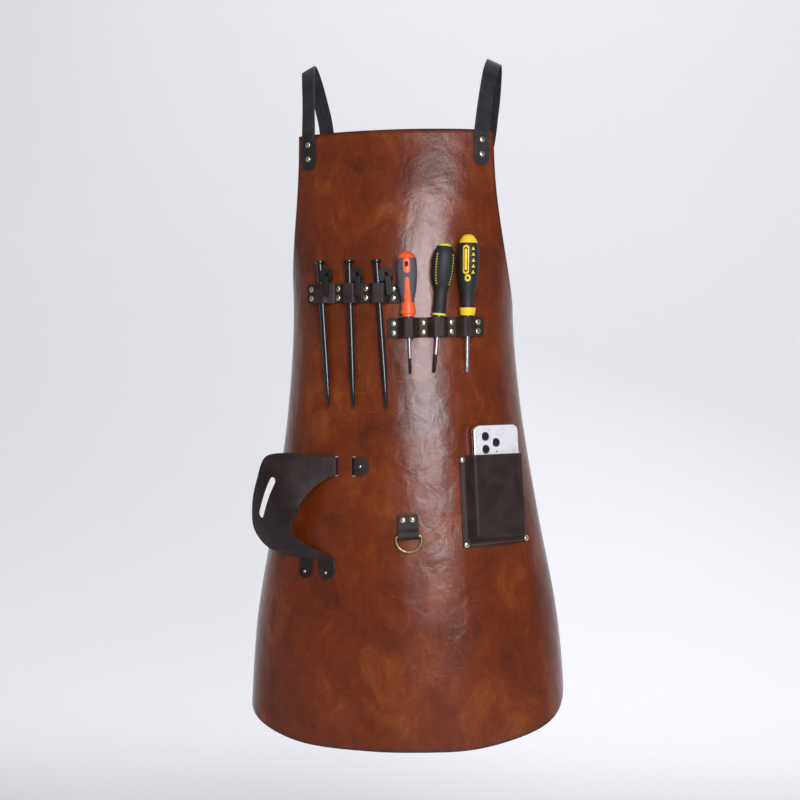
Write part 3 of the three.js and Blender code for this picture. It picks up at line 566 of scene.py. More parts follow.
bodySections = np.array([
    [0, 190, 92, -84], [-116, 185, 95, -96], [-216, 172, 105, -110], [-346, 160, 116, -122],
    [-496, 169, 124, -126], [-656, 193, 134, -130], [-816, 221, 142, -136], [-996, 233, 146, -142],
], float)  # height, half width, half depth, front
bodySteps = 24


def bodySize(height, which):
    # a smooth curve through one column of the sections
    z, v = bodySections[:, 0], bodySections[:, which]
    count = len(z)
    before, after = np.maximum(np.arange(count) - 1, 0), np.minimum(np.arange(count) + 1, count - 1)
    slope = (v[after] - v[before]) / (z[after] - z[before])
    k = np.clip(np.searchsorted(-z, -np.asarray(height, float)) - 1, 0, count - 2)
    run = z[k + 1] - z[k]
    t = (height - z[k]) / run
    inside = (
        (2 * t ** 3 - 3 * t ** 2 + 1) * v[k] + (t ** 3 - 2 * t ** 2 + t) * run * slope[k]
        + (3 * t ** 2 - 2 * t ** 3) * v[k + 1] + (t ** 3 - t ** 2) * run * slope[k + 1]
    )
    return np.where(t > 1, v[k + 1] + slope[k + 1] * (height - z[k + 1]), inside)


def onBody(along, height, out=0.0):
    # the point at a distance along the body from its middle, at a height, standing out from it
    along, height, out = np.broadcast_arrays(
        np.asarray(along, float), np.asarray(height, float), np.asarray(out, float))
    a, b = bodySize(height, 1), bodySize(height, 2)
    run = np.abs(along) / bodySteps
    turn = np.zeros_like(a)
    for _ in range(bodySteps):
        middle = turn + run / np.hypot(a * np.cos(turn), b * np.sin(turn)) / 2
        turn = turn + run / np.hypot(a * np.cos(middle), b * np.sin(middle))
    turn = turn * np.sign(along)
    normal = units(np.stack([b * np.sin(turn), -a * np.cos(turn), 0 * turn], -1))
    point = np.stack([a * np.sin(turn), bodySize(height, 3) + b * (1 - np.cos(turn)), height], -1)
    return point + normal * out[..., None]


def unit(vector):
    return vector / np.linalg.norm(vector)


def basis(x, y, z, origin):
    # a place: three axes and where it is
    made = np.eye(4)
    made[:3, 0], made[:3, 1], made[:3, 2], made[:3, 3] = x, y, z, origin
    return made


def turned(place, degreesTurned, axis):
    return place @ np.array(Matrix.Rotation(math.radians(degreesTurned), 4, axis))


def shifted(place, x, y, z):
    return place @ np.array(Matrix.Translation((x, y, z)))


def onPlace(along, height, out=0.0, turn=0.0):
    # x to the right, y up and z out, turned in its own plane by degrees
    side = onBody(along + 1, height) - onBody(along - 1, height)
    up = unit(onBody(along, height + 5) - onBody(along, height - 5))
    outward = unit(np.cross(side, up))
    return turned(basis(np.cross(up, outward), up, outward, onBody(along, height, out)), turn, "Z")


def restingPlace(along, height, below, above, turn):
    # for a straight tool that lies against the panel
    lean = math.radians(turn)

    def at(y):
        return onBody(along - y * math.sin(lean), height + y * math.cos(lean), panel["thickness"])

    up = unit(at(above) - at(-below))
    outward = unit(np.cross(onBody(along + 1, height) - onBody(along - 1, height), up))
    rises = [(at(-below + (above + below) * k / 12) - at(0)) @ outward for k in range(13)]
    return basis(np.cross(up, outward), up, outward, at(0) + outward * max(rises))


def standOut(place, along, height):
    # how far a place stands out from the body
    return (place[:3, 3] - onBody(along, height)) @ place[:3, 2]


panel = {
    "thickness": 2.6, "top": -110, "length": 873, "half": 300, "bibHalf": 146, "armhole": 290,
    "hemFlat": 60, "hemRise": 90, "columns": 132, "skirtRows": 92, "bibRows": 72,
    "clearAcross": 1.2, "clearUp": 2, "darkEdge": 5,
}  # no line of the mesh comes nearer to a slit's edge than the clear values
# the hem's waves: how far each stands out, its run and where it starts
hem = {"starts": -760, "depth": 220, "power": 1.6, "waves": [(2.2, 41, 0.6), (1.3, 19, 2.1)]}
seatGap = 0.3
trim = 2.4
onPanel = panel["thickness"] + seatGap
sling = {"tip": -32, "slit": -55, "backSlit": -82, "upper": -574, "lower": -600, "slitHalf": 2.6,
         "slitSpare": 0.6, "gap": 0.5}
trimSet = [bark, tanFlesh, barkEdge]  # grain side, flesh side, cut edge
strapSet = [ink, inkFlesh, inkEdge]
darkRim = 2.5  # how far in from its edge trim leather is darker


def hemWave(along, height):
    # the hem stands in and out a little
    share = np.clip((hem["starts"] - height) / hem["depth"], 0, 1) ** hem["power"]
    return share * sum(tall * np.sin(along / run + start) for tall, run, start in hem["waves"])


def makePanel():
    half = panel["half"]
    slitHalf = sling["slitHalf"]
    slits = [sling[name] + d for name in ("slit", "backSlit") for d in (-slitHalf, slitHalf)]
    shares = np.linspace(-1, 1, panel["columns"] + 1)
    shares = np.array([s for s in shares if min(abs(s * half - x) for x in slits) > panel["clearAcross"]])
    shares = np.sort(np.concatenate([shares, np.array(slits) / half]))
    low = panel["top"] - panel["length"]
    side = panel["top"] - panel["armhole"]
    heights = np.linspace(low, side, panel["skirtRows"] + 1)[:-1]
    ends = [sling["upper"] + sling["slitSpare"], sling["lower"] - sling["slitSpare"]]
    clear = [h for h in heights if min(abs(h - e) for e in ends) > panel["clearUp"]]
    heights = np.sort(np.concatenate([clear, ends]))
    angles = np.linspace(0, np.pi / 2, panel["bibRows"] + 1)
    bibHalf = panel["bibHalf"]
    allHeights = np.concatenate([heights, panel["top"] - panel["armhole"] * np.sin(angles)[::-1]])
    halves = np.concatenate([np.full(len(heights), half), half + (bibHalf - half) * np.cos(angles)[::-1]])
    hemShare = np.clip((side - allHeights) / (side - low), 0, 1)
    along = shares[None] * halves[:, None]
    past = np.clip((np.abs(along) - panel["hemFlat"]) / (halves[:, None] - panel["hemFlat"]), 0, 1)
    rise = panel["hemRise"] * (1 - np.sqrt(1 - past ** 2))
    height = allHeights[:, None] + rise * hemShare[:, None]
    points = onBody(along, height, panel["thickness"] / 2 + hemWave(along, height))
    middle = (along[1:, 1:] + along[:-1, :-1]) / 2
    level = (height[1:, 1:] + height[:-1, :-1]) / 2
    slit = np.zeros(middle.shape, bool)
    for x in (sling["slit"], sling["backSlit"]):
        slit |= (np.abs(middle - x) < slitHalf) & (level < ends[0]) & (level > ends[1])
    sideGap = halves[:, None] - np.abs(along)
    hemGap = height - height[0]
    topGap = panel["top"] - height
    distance = np.minimum(np.minimum(sideGap, hemGap), topGap)
    piece = leather("panel", points, panel["thickness"], [cognac, cognacFlesh, cognacEdge],
                    edgeShade(distance, panel["darkEdge"]), ~slit)
    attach(piece, "apron")
    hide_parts("apron_panel")


makePanel()
print("panel made")

rivet = {"cap": 4.2, "capHigh": 2.0, "back": 1.0, "gap": 0.8, "post": 1.8}


def makeRivet(name, node, placed, stack, share=1.0):
    # a cap on a post through the leather, and a flat back; placed is on the panel's inner face
    cap = rivet["cap"] * share
    low, high = -rivet["gap"] + 0.5, stack + rivet["gap"] - 0.55
    dome = arc(0, high + 0.35, cap, rivet["capHigh"] - 0.1, 0, 90, 9)
    outline = [[0.01, low - rivet["back"]], [cap * 0.86, low - rivet["back"]], [cap, low - 0.6], [cap, low],
               [rivet["post"], low], [rivet["post"], high], [cap * 0.93, high], [cap, high + 0.16]] + dome
    points, faces = lathe(outline, 28)
    piece = toObject(name, put(upright(points), placed), faces, [paleBrass])
    softenEdges(piece, 0.12, 1, 60)
    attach(settled(piece), "apron")
    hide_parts(node)


bandHigh = 28
bands = {
    "peg": {"left": -134, "right": 13, "middle": -341, "rise": -4, "columns": [-124, -77, -35, 4]},
    "driver": {"left": -5, "right": 133, "middle": -394, "rise": 3, "columns": [4, 45, 84, 123]},
}
loopGap = 0.8
loopFlat = 5
rivetSpread = 6.5


def bandMiddle(band, along):
    return band["middle"] + band["rise"] * (along - band["left"]) / (band["right"] - band["left"])


def smooth(t):
    x = np.clip(t, 0, 1)
    return x * x * (3 - 2 * x)


def loopMiddle(band, k):
    return (band["columns"][k] + band["columns"][k + 1]) / 2


def makeBand(name, band, loops):
    # a strip that lies flat at its rivets and rises over each tool
    along = np.linspace(band["left"], band["right"], 190)
    high = np.linspace(-0.5, 0.5, 13)
    out = np.full(len(along), float(onPanel))
    for k, loop in enumerate(loops):
        reach = min(loop["middle"] - band["columns"][k], band["columns"][k + 1] - loop["middle"]) - loopFlat
        away = np.abs(along - loop["middle"])
        rise = smooth((reach - away) / (reach - loop["flat"]))
        out = np.maximum(out, onPanel + (loop["out"] - onPanel) * rise)
    endGap = np.minimum(along - band["left"], band["right"] - along)
    inset = rounded(endGap, 3, 3)
    level = bandMiddle(band, along)[None] + high[:, None] * (bandHigh - 2 * inset[None])
    points = onBody(np.broadcast_to(along, level.shape), level, out[None] + trim / 2)
    distance = np.minimum(endGap[None], bandHigh * (0.5 - np.abs(high))[:, None])
    piece = leather(f"{name}_strip", points, trim, trimSet, edgeShade(distance, darkRim))
    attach(piece, "apron")
    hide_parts(name)
    for k, x in enumerate(band["columns"]):
        for row, side in (("upper", 1), ("lower", -1)):
            place = onPlace(x, bandMiddle(band, x) + side * rivetSpread)
            makeRivet(f"{name}_cap_{k + 1}_{row}", f"{name}_rivet_{k + 1}_{row}", place, onPanel + trim)


peg = {
    "turns": [3.6, 1.4, 3.6], "headAbove": 47, "length": 209, "radius": 4.6, "tip": 2.2,
    "head": 7.6, "headHigh": 4, "plateRight": 21.5, "plateTop": 34, "hole": [13, 25, 3],
    "legLeft": 13.5, "legBottom": -6, "thick": 4,
}


def pegPlace(k):
    band = bands["peg"]
    along = loopMiddle(band, k)
    reach = peg["length"] - peg["headAbove"]
    placed = restingPlace(along, bandMiddle(band, along), reach, peg["headAbove"], peg["turns"][k])
    spread = (peg["head"] - peg["radius"]) / peg["length"]
    placed = shifted(placed, 0, 0, loopGap + peg["radius"] + spread * reach)
    return turned(placed, math.degrees(math.atan(spread)), "X")


def makePegs():
    top, foot = peg["headAbove"], peg["headAbove"] - peg["length"]
    r, head = peg["radius"], peg["head"]
    neck = top - peg["headHigh"]
    shank = [[0.01, foot], [peg["tip"] * 0.6, foot + 0.3], [peg["tip"], foot + 2.5], [r * 0.72, foot + 26],
             [r * 0.96, foot + 46], [r, foot + 54], [r, neck - 3], [r + 0.4, neck - 0.8]]
    shank += [[head - 0.8, neck], [head, neck + 0.9], [head, top - 1.3], [head - 0.9, top - 0.3],
              [head - 2.4, top - 0.02], [0.01, top]]
    legBack = r + loopGap + trim + loopGap
    seat = bandHigh / 2 + loopGap
    right, plateTop, leg, low = peg["plateRight"], peg["plateTop"], peg["legLeft"], peg["legBottom"]
    soften = 0.6
    # the plate stands beside the shank, and steps forward to a leg in front of the loop
    wing = [[2.6, seat + 0.4], [right, seat + 0.4], [right, plateTop - 6]]
    wing += arc(right - 6, plateTop - 6, 6, 6, 20, 80, 4)
    wing += [[8, plateTop], [5, plateTop - 0.7], [2.6, plateTop - 2.4]]
    step = [[leg, seat + 0.4], [right, seat + 0.4], [right, seat + 6], [leg, seat + 6]]
    outline = [[leg, low + 3], [leg + 1, low + 0.9], [leg + 3, low], [right - 3, low], [right - 0.9, low + 1]]
    outline += [[right, low + 3.2], [right, seat + 5.4], [right - 0.8, seat + 6]]
    outline += [[leg + 0.8, seat + 6], [leg, seat + 5.4]]
    for k in range(3):
        placed = pegPlace(k)
        wingPlate = plate(np.array(wing), 0, peg["thick"], [peg["hole"]], soften)
        stepPlate = plate(np.array(step), 1, legBack + 2, (), soften)
        legPlate = plate(np.array(outline), legBack, legBack + peg["thick"], (), soften)
        shankPoints, shankFaces = lathe(shank, 36)
        points, faces, which = merged([
            [shankPoints, shankFaces, 0], [*wingPlate, 1], [*stepPlate, 1], [*legPlate, 1],
        ])
        piece = toObject(f"tent_peg_{k + 1}", put(points, placed), faces, [enamel, iron], which)
        smoothByAngle(piece)
        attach(piece, f"peg_{k + 1}")
        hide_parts(f"peg_{k + 1}")
    loops = []
    for k in range(3):
        middle = loopMiddle(bands["peg"], k)
        lean = math.tan(math.radians(abs(peg["turns"][k])))
        out = standOut(pegPlace(k), middle, bandMiddle(bands["peg"], middle)) + r + loopGap
        loops.append({"middle": middle, "flat": r + loopGap + lean * bandHigh / 2, "out": out})
    makeBand("peg_band", bands["peg"], loops)


def smoothByAngle(piece, angle=38):
    # sharp edges stay sharp where faces meet at more than the angle
    mesh = piece.data
    mesh.polygons.foreach_set("use_smooth", [True] * len(mesh.polygons))
    mesh.set_sharp_from_angle(angle=math.radians(angle))


makePegs()
print("pegs and their band made")

# outline and top: height, radius. rings: from, to, proud.
# inlays: from, to, half width, proud, degrees round, rows, finish. Heights are above the handle's foot.
drivers = [
    {"turn": 1.7, "shaft": 2.2, "top": [90, 7], "outline":
        [[0, 8.6], [4, 8.6], [4.6, 10.6], [16, 9.2], [24, 9.4], [40, 12.6], [62, 14.4], [80, 13.6]],
     "rings": [[81, 90, 0.25], [0.05, 19, 0.25]],
     # the first handle's small black oval is painted shade for the hole in its upper orange inlay
     "inlays": [[60, 81, 4.6, 0.4, 0, 24, 1], [68.5, 76.5, 2.3, 0.55, 0, 12, 2]]},
    {"turn": -4, "shaft": 2.6, "top": [101, 5], "outline":
        [[0, 8.4], [3, 9.4], [28, 8.8], [38, 9.6], [48, 13.6], [64, 15.8], [84, 15.2], [96, 11]],
     "rings": [[96.5, 100.4, 0.2], [0.05, 3, 0.25]], "inlays": []},
    {"turn": 1.6, "shaft": 2.9, "top": [113, 5], "outline":
        [[0, 9.6], [10, 11.2], [12, 9.2], [26, 9], [42, 12.4], [66, 15.6], [92, 15], [106, 11]],
     "rings": [[101, 113, 0.25], [0.05, 11, 0.3]],
     "inlays": [[57, 98, 4.2, 0.35, -36, 24, 1], [60, 95, 2.9, 0.5, -36, 24, 2],
                [62, 93, 1.9, 0.62, -36, 24, 1], [47, 57, 4.0, 0.35, -26, 16, 1],
                [50, 54, 1.6, 0.5, -26, 12, 2]]},
]
shaftReach = 79
handleSteps = 6  # points on each span of a handle's outline


def driverPlace(k):
    driver, band = drivers[k], bands["driver"]
    along = loopMiddle(band, k)
    edge = bandMiddle(band, along) + bandHigh / 2
    rises = [(r + h * driver["shaft"] / shaftReach) / (1 + h / shaftReach) for h, r in driver["outline"]]
    placed = restingPlace(along, edge, shaftReach, driver["top"][0], driver["turn"])
    placed = shifted(placed, 0, 0, loopGap + max(rises))
    placed = turned(placed, math.degrees(math.atan((max(rises) - driver["shaft"]) / shaftReach)), "X")
    rest = loopGap + driver["outline"][0][1] * math.tan(math.radians(abs(driver["turn"])))
    return placed, along, edge, rest


def patch(radiusAt, low, high, halfWidth, proud, middle=0.0, rows=24, columns=8):
    # a raised piece on a turned handle; halfWidth gives its half width at a share of its run
    shares = np.linspace(0, 1, rows)
    heights = low + (high - low) * shares
    radius = radiusAt(heights)
    half = np.array([halfWidth(s) for s in shares]) / radius
    turns = np.radians(middle) + half[:, None] * np.linspace(-1, 1, columns)[None]
    groups = []
    for lift in (proud, -0.6):
        r = (radius + lift)[:, None]
        level = np.repeat(heights[:, None], columns, 1)
        groups.append(np.stack([r * np.sin(turns), level, r * np.cos(turns)], -1))
    outer, inner = groups
    points = np.concatenate([outer.reshape(-1, 3), inner.reshape(-1, 3)])
    faces = gridFaces(rows, columns).tolist()
    shift = rows * columns
    ring = [j * columns for j in range(rows)] + [shift - columns + i for i in range(1, columns)]
    ring += [j * columns + columns - 1 for j in range(rows - 2, -1, -1)] + list(range(columns - 2, 0, -1))
    for a, b in zip(ring, ring[1:] + ring[:1]):
        faces.append([b, a, a + shift, b + shift])
    return points, faces


def oblong(width, run):
    # the outline of an inlay with round ends
    corner = min(width / run, 0.5)

    def half(share):
        past = max(corner - share, share - 1 + corner, 0) / corner
        return width * math.sqrt(max(1 - past ** 2, 0)) + 0.02

    return half


def turnedHandle(driver, rest):
    corners = [[r, h + rest] for h, r in driver["outline"]]
    spans = len(corners) - 1
    curve = curveThrough(corners, np.linspace(0, spans, spans * handleSteps + 1))
    topHeight, topRadius = driver["top"][0] + rest, driver["top"][1]
    last = curve[-1]
    dome = [[topRadius * 0.2 + last[0] * math.cos(a) * 0.8, last[1] + (topHeight - last[1]) * math.sin(a)]
            for a in np.radians(np.linspace(12, 90, 10))]
    return np.vstack([curve, [[min(r, last[0]), h] for r, h in dome], [[0.01, topHeight]]])


def radiusOf(curve):
    order = np.argsort(curve[:, 1], kind="stable")
    return lambda heights: np.interp(heights, curve[order, 1], curve[order, 0])


def stretch(curve, low, high):
    # the part of an outline between two heights, closed at both ends
    at = radiusOf(curve)
    inner = [[r, h] for r, h in curve if low < h < high]
    return np.array([[float(at(low)), low]] + inner + [[float(at(high)), high]])


def spear(share):
    # a long tapered inlay with a round end
    return 5.6 - 3.0 * share ** 0.7 if share < 0.93 else 2.6 * (1 - share) / 0.07 + 0.02


def triangle(share):
    return 0.2 + 2.4 * (1 - share)


def driverTrim(k, curve, rest):
    # the second and third colours of each handle: [points, faces, material]
    at = radiusOf(curve)
    groups = []
    for low, high, proud in drivers[k]["rings"]:
        part = stretch(curve, rest + low, rest + high)
        part[:, 0] += proud
        if part[-1, 0] > 1:
            part = np.vstack([part, [[part[-1, 0] - proud - 0.5, part[-1, 1]]]])
        part = np.vstack([[[max(part[0, 0] - proud - 0.5, 0.01), part[0, 1]]], part])
        groups.append([*lathe(part, 48), 1])
    for low, high, width, proud, middle, rows, finish in drivers[k]["inlays"]:
        shape = oblong(width, high - low)
        groups.append([*patch(at, rest + low, rest + high, shape, proud, middle, rows), finish])
    if k == 0:
        groups.append([*patch(at, rest + 17, rest + 55, spear, 0.4), 1])
    if k == 1:  # two rows of dashes
        for side in (-1, 1):
            for n in range(12):
                low = rest + 43 + n * 3.7
                groups.append([*patch(at, low, low + 2, lambda share: 0.9, 0.3, side * 47, 3, 3), 1])
    if k == 2:  # a column of small triangles
        for n in range(5):
            low = rest + 58 + n * 8.2
            groups.append([*patch(at, low, low + 4.8, triangle, 0.35, 3, 6, 3), 1])
    return groups


handleFinishes = [[greyGrip, orange, holeBlack], [blackGrip, lime, holeBlack], [blackGrip, yellow, holeBlack]]
shaftFinishes = [(steel, tipBlack, 22), (steel, tipBlack, 26), (steel, steel, 10)]


def makeDrivers():
    loops = []
    for k, driver in enumerate(drivers):
        placed, along, edge, rest = driverPlace(k)
        curve = turnedHandle(driver, rest)
        whole = np.vstack([[[0.01, rest]], [[driver["outline"][0][1] - 0.4, rest]], curve])
        groups = [[*lathe(whole, 48), 0]] + driverTrim(k, curve, rest)
        points, faces, which = merged(groups)
        handle = toObject(f"driver_{k + 1}_grip", put(points, placed), faces, handleFinishes[k], which)
        smoothByAngle(handle)
        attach(handle, f"driver_{k + 1}")
        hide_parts(f"driver_{k + 1}_handle")
        r = driver["shaft"]
        bright, tip, tipRun = shaftFinishes[k]
        foot = -shaftReach
        tipOutline = [[0.01, foot], [r * 0.45, foot], [r * 0.8, foot + 2.5], [r, foot + 6],
                      [r, foot + tipRun]]
        rodOutline = [[r, foot + tipRun], [r, rest + 2]]
        points, faces, which = merged([[*lathe(tipOutline, 28), 1], [*lathe(rodOutline, 28), 0]])
        shaft = toObject(f"driver_{k + 1}_blade", put(points, placed), faces, [bright, tip], which)
        smoothByAngle(shaft)
        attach(shaft, f"driver_{k + 1}")
        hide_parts(f"driver_{k + 1}_shaft")
        lean = math.tan(math.radians(abs(driver["turn"])))
        out = standOut(placed, along, edge) + r + loopGap
        loops.append({"middle": along, "flat": r + loopGap + lean * bandHigh, "out": out})
    makeBand("driver_band", bands["driver"], loops)


makeDrivers()
print("screwdrivers and their band made")

ringTab = {"middle": 22, "bar": -684, "width": 29, "length": 30, "rivetAbove": 23, "spread": 6.5,
           "wire": 2, "drop": 22, "sideGap": 1.4, "turn": 3}


def foldPath(length, bar, wireRadius):
    # the middle line of a strip folded round a bar: [along, out]
    middle = wireRadius + seatGap + trim / 2
    back = trim / 2
    front = back + trim + seatGap
    barOut = trim + wireRadius + seatGap
    end = length - bar
    path = [[y, back] for y in np.linspace(end, -bar + 3, 8)]
    path += arc(-bar, barOut, middle, middle, -90, -270, 15)
    start, stop = -bar + 3, -bar + 3 * middle + 2
    high = barOut + middle - 0.2
    path += [[-bar + 1.5, barOut + middle], [start, high]]
    path += [[start + (stop - start) * t, high + (front - high) * float(smooth(t))]
             for t in np.linspace(0, 1, 7)[1:]]
    path += [[y, front] for y in np.linspace(stop, end, 6)[1:]]
    return np.array(path)


def foldedStrip(name, node, placed, width, length, bar, wireRadius, materials, slotHalf=0.0):
    path = foldPath(length, bar, wireRadius)
    across = np.linspace(-width / 2, width / 2, 13)
    if slotHalf:
        across = np.sort(np.concatenate([across[np.abs(across) > slotHalf + 0.5], [-slotHalf, slotHalf]]))
    # the strip runs from the hidden end round the bar to the front, so its grain side faces away from the bar
    points = np.stack(np.broadcast_arrays(across[None], path[:, :1], path[:, 1:]), -1)
    keep = None
    if slotHalf:
        middles = (across[1:] + across[:-1]) / 2
        near = (path[1:, 0] + path[:-1, 0]) / 2 < -bar + wireRadius + 4.5
        keep = ~(near[:, None] & (np.abs(middles) < slotHalf)[None])
    distance = width / 2 - np.abs(across)[None]
    piece = leather(name, put(points, placed), trim, materials,
                    edgeShade(np.broadcast_to(distance, points.shape[:2]), darkRim), keep, 0.4)
    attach(piece, "apron")
    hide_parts(node)


def makeRing():
    placed = onPlace(ringTab["middle"], ringTab["bar"] + ringTab["rivetAbove"], onPanel, ringTab["turn"])
    foldedStrip("ring_loop", "ring_tab", placed, ringTab["width"], ringTab["length"],
                ringTab["rivetAbove"], ringTab["wire"], trimSet)
    for name, side in (("left", -1), ("right", 1)):
        spot = shifted(placed, side * ringTab["spread"], 0, -onPanel)
        makeRivet(f"ring_loop_cap_{name}", f"ring_tab_rivet_{name}", spot, onPanel + 2 * trim + seatGap)
    half = ringTab["width"] / 2 + ringTab["sideGap"] + ringTab["wire"]
    drop = ringTab["drop"]
    outline = [[-half + 3, 0], [0, 0], [half - 3, 0], [half - 0.8, -0.8], [half, -3.4]]
    outline += arc(0, -4, half, 4 - drop, 8, 172, 30)
    outline += [[-half, -3.4], [-half + 0.8, -0.8]]
    plumb = math.degrees(math.asin(placed[2, 2]))
    hung = turned(shifted(placed, 0, -ringTab["rivetAbove"], trim + ringTab["wire"] + seatGap), plumb, "X")
    points, faces = bentWire(np.array(outline), 120, ringTab["wire"], 18)
    piece = toObject("brass_d_ring", put(points, hung), faces, [oldBrass])
    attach(piece, "d_ring")
    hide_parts("d_ring")


makeRing()
print("ring made")

pocket = {"middle": 149, "centre": -636, "width": 106, "height": 128, "turn": 2.5, "seam": 11, "side": 4.5,
          "softSeam": 6.6, "softSide": 8.8}
phone = {"width": 74, "height": 154, "thick": 8, "corner": 10, "gap": 0.6, "lean": 1.6,
         "lenses": [(18, 16.5), (18, 34.5), (35.5, 25.5)], "spots": [(36, 12.5, 2.4, 1), (36, 38, 1.1, 2)]}
pocketPlace = onPlace(pocket["middle"], pocket["centre"], onPanel, pocket["turn"])
phoneFoot = -pocket["height"] / 2 + pocket["seam"] + pocket["side"] + phone["gap"]


def pocketTurned(x, y):
    # a point of the pocket as a distance along the body and a height
    turn = math.radians(pocket["turn"])
    return (pocket["middle"] + x * math.cos(turn) - y * math.sin(turn),
            pocket["centre"] + x * math.sin(turn) + y * math.cos(turn))


def pocketMiddle(x, y, out=trim / 2):
    # flat on the panel at its seams, and raised over the phone between them
    side = smooth((pocket["width"] / 2 - np.abs(x) - pocket["softSeam"]) / pocket["softSide"])
    foot = smooth((y + pocket["height"] / 2 - pocket["softSeam"]) / pocket["softSide"])
    share = (side * foot)[..., None]
    lean = math.tan(math.radians(phone["lean"])) * (y - phoneFoot)
    raised = put(np.stack([x, y, phone["thick"] + 2 * phone["gap"] + lean + out], -1), pocketPlace)
    return onBody(*pocketTurned(x, y), onPanel + out) * (1 - share) + raised * share


def makePocket():
    w, h = pocket["width"] / 2, pocket["height"] / 2
    x = np.linspace(-w, w, 81)
    y = np.linspace(-h, h, 91)
    inset = rounded(y + h, 3, 3) + rounded(h - y, 2, 2)
    grid = x[None] * ((w - inset) / w)[:, None]
    rows = np.broadcast_to(y[:, None], grid.shape)
    points = pocketMiddle(grid, rows)
    distance = np.minimum(w - np.abs(grid), h - np.abs(rows))
    piece = leather("phone_pouch", points, trim, trimSet, edgeShade(distance, darkRim))
    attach(piece, "apron")
    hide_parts("phone_pocket")
    for side, right in (("left", -1), ("right", 1)):
        for row, up in (("upper", 1), ("lower", -1)):
            spot = pocketTurned(right * (w - rivet["cap"] - 0.5), up * (h - rivet["cap"] - 0.5))
            makeRivet(f"phone_pouch_cap_{row}_{side}", f"pocket_rivet_{row}_{side}", onPlace(*spot),
                      onPanel + trim)


stitch = {"inset": 4.2, "pitch": 4.4, "length": 3.2, "radius": 0.55, "proud": 0.4, "sink": 0.45,
          "rings": 7, "sides": 8}


def makeStitches(name, path, normals):
    # one closed bead of thread for each stitch
    runs = runsAlong(path)
    shares = np.linspace(-1, 1, stitch["rings"])
    radius = stitch["radius"] * np.sqrt(np.clip(1 - shares ** 4, 0.02, 1))
    sink = stitch["proud"] - stitch["sink"] * shares ** 2
    turns = np.linspace(0, 2 * np.pi, stitch["sides"], endpoint=False)[:, None]
    size = stitch["rings"], stitch["sides"]
    groups = []
    count = int(runs[-1] / stitch["pitch"])
    for k in range(count):
        at = (k + 0.5) * runs[-1] / count
        ends = [np.array([np.interp(at + d, runs, path[:, c]) for c in range(3)])
                for d in (-stitch["length"] / 2, stitch["length"] / 2)]
        up = unit(np.array([np.interp(at, runs, normals[:, c]) for c in range(3)]))
        middle = (ends[0] + ends[1]) / 2
        along = (ends[1] - ends[0]) / 2
        side = unit(np.cross(unit(along), up))
        line = middle + shares[:, None] * along + sink[:, None] * up
        ring = line[:, None] + radius[:, None, None] * (np.cos(turns) * side + np.sin(turns) * up)
        groups.append([ring.reshape(-1, 3), tubeFaces(*size) + tubeEnds(*size), 0])
    points, faces, _ = merged(groups)
    piece = toObject(name, points, faces, [thread])
    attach(piece, "apron")


def makePocketStitches():
    w, h = pocket["width"] / 2 - stitch["inset"], pocket["height"] / 2
    low = -h + stitch["inset"]
    left = [[-w, y] for y in np.linspace(h - 11, low, 40)]
    foot = [[x, low] for x in np.linspace(-w, w, 40)[1:]]
    right = [[w, y] for y in np.linspace(low, h - 11, 40)[1:]]
    line = np.array(left + foot + right)
    path = pocketMiddle(line[:, 0], line[:, 1], trim)
    makeStitches("pouch_stitches", path, pocketMiddle(line[:, 0], line[:, 1], trim + 1) - path)


def makePhone():
    placed = turned(shifted(pocketPlace, 0, phoneFoot, phone["gap"]), phone["lean"], "X")
    w, top, thick = phone["width"] / 2, phone["height"], phone["thick"]
    body = plate(roundedBox(-w, 0, w, top, phone["corner"], 8), 0, thick - 0.6, (), 1.2)
    rim = 1.1
    inner = roundedBox(-w + rim, rim, w - rim, top - rim, phone["corner"] - rim, 8)
    back = plate(inner, thick - 0.9, thick, (), 0.25)
    groups = [[*body, 0], [*back, 1]]
    island = roundedBox(-w + 7.5, top - 44, -w + 45, top - 6.5, 9, 8)
    groups.append([*plate(island, thick - 0.2, thick + 0.25, (), 0.2), 1])
    # the camera's three lenses, each a silver ring and dark glass, then the lamp and a microphone
    discs = []
    steps = [(6.6, thick, thick + 0.45, 0), (5.6, thick + 0.3, thick + 0.52, 2)]
    for x, down in phone["lenses"]:
        for radius, low, high, material in steps:
            outline = [[radius - 0.01, low], [radius, low], [radius, high - 0.15], [radius - 0.3, high],
                       [0.01, high]]
            discs.append([x, down, lathe(outline, 32), material])
    for x, down, radius, material in phone["spots"]:
        outline = [[radius, thick + 0.2], [radius, thick + 0.4], [0.01, thick + 0.4]]
        discs.append([x, down, lathe(outline, 20), material])
    for x, down, (disc, faces), material in discs:
        groups.append([upright(disc) + [-w + x, top - down, 0], faces, material])
    points, faces, which = merged(groups)
    piece = toObject("carried_phone", put(points, placed), faces, [silverEdge, whiteGlass, lensGlass], which)
    smoothByAngle(piece, 30)
    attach(piece, "phone")
    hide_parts("phone")


makePocket()
makePocketStitches()
makePhone()
print("pocket and phone made")

slingEdges = [
    [[-96, -573, 9], [-94, -604, 6]], [[-120, -570, 20], [-104, -612, 11]],
    [[-146, -568, 34], [-114, -622, 17]], [[-168, -574, 46], [-122, -636, 24]],
    [[-180, -606, 50], [-128, -652, 29]], [[-194, -644, 47], [-134, -668, 29]],
    [[-200, -680, 38], [-138, -684, 24]], [[-184, -706, 22], [-120, -700, 12]],
]  # upper or outer edge first: along, height, out
slingSlot = {"from": 0.44, "to": 0.64, "across": 0.7, "width": 12}  # shares of its run and of its width
slingLegs = {"top": -718, "end": -746, "legs": [[-143, -119], [-108, -84]]}
slingNear = panel["thickness"] + sling["gap"]
tipRows = 12
studDome = 0.55  # its studs' caps, as a share of a rivet's


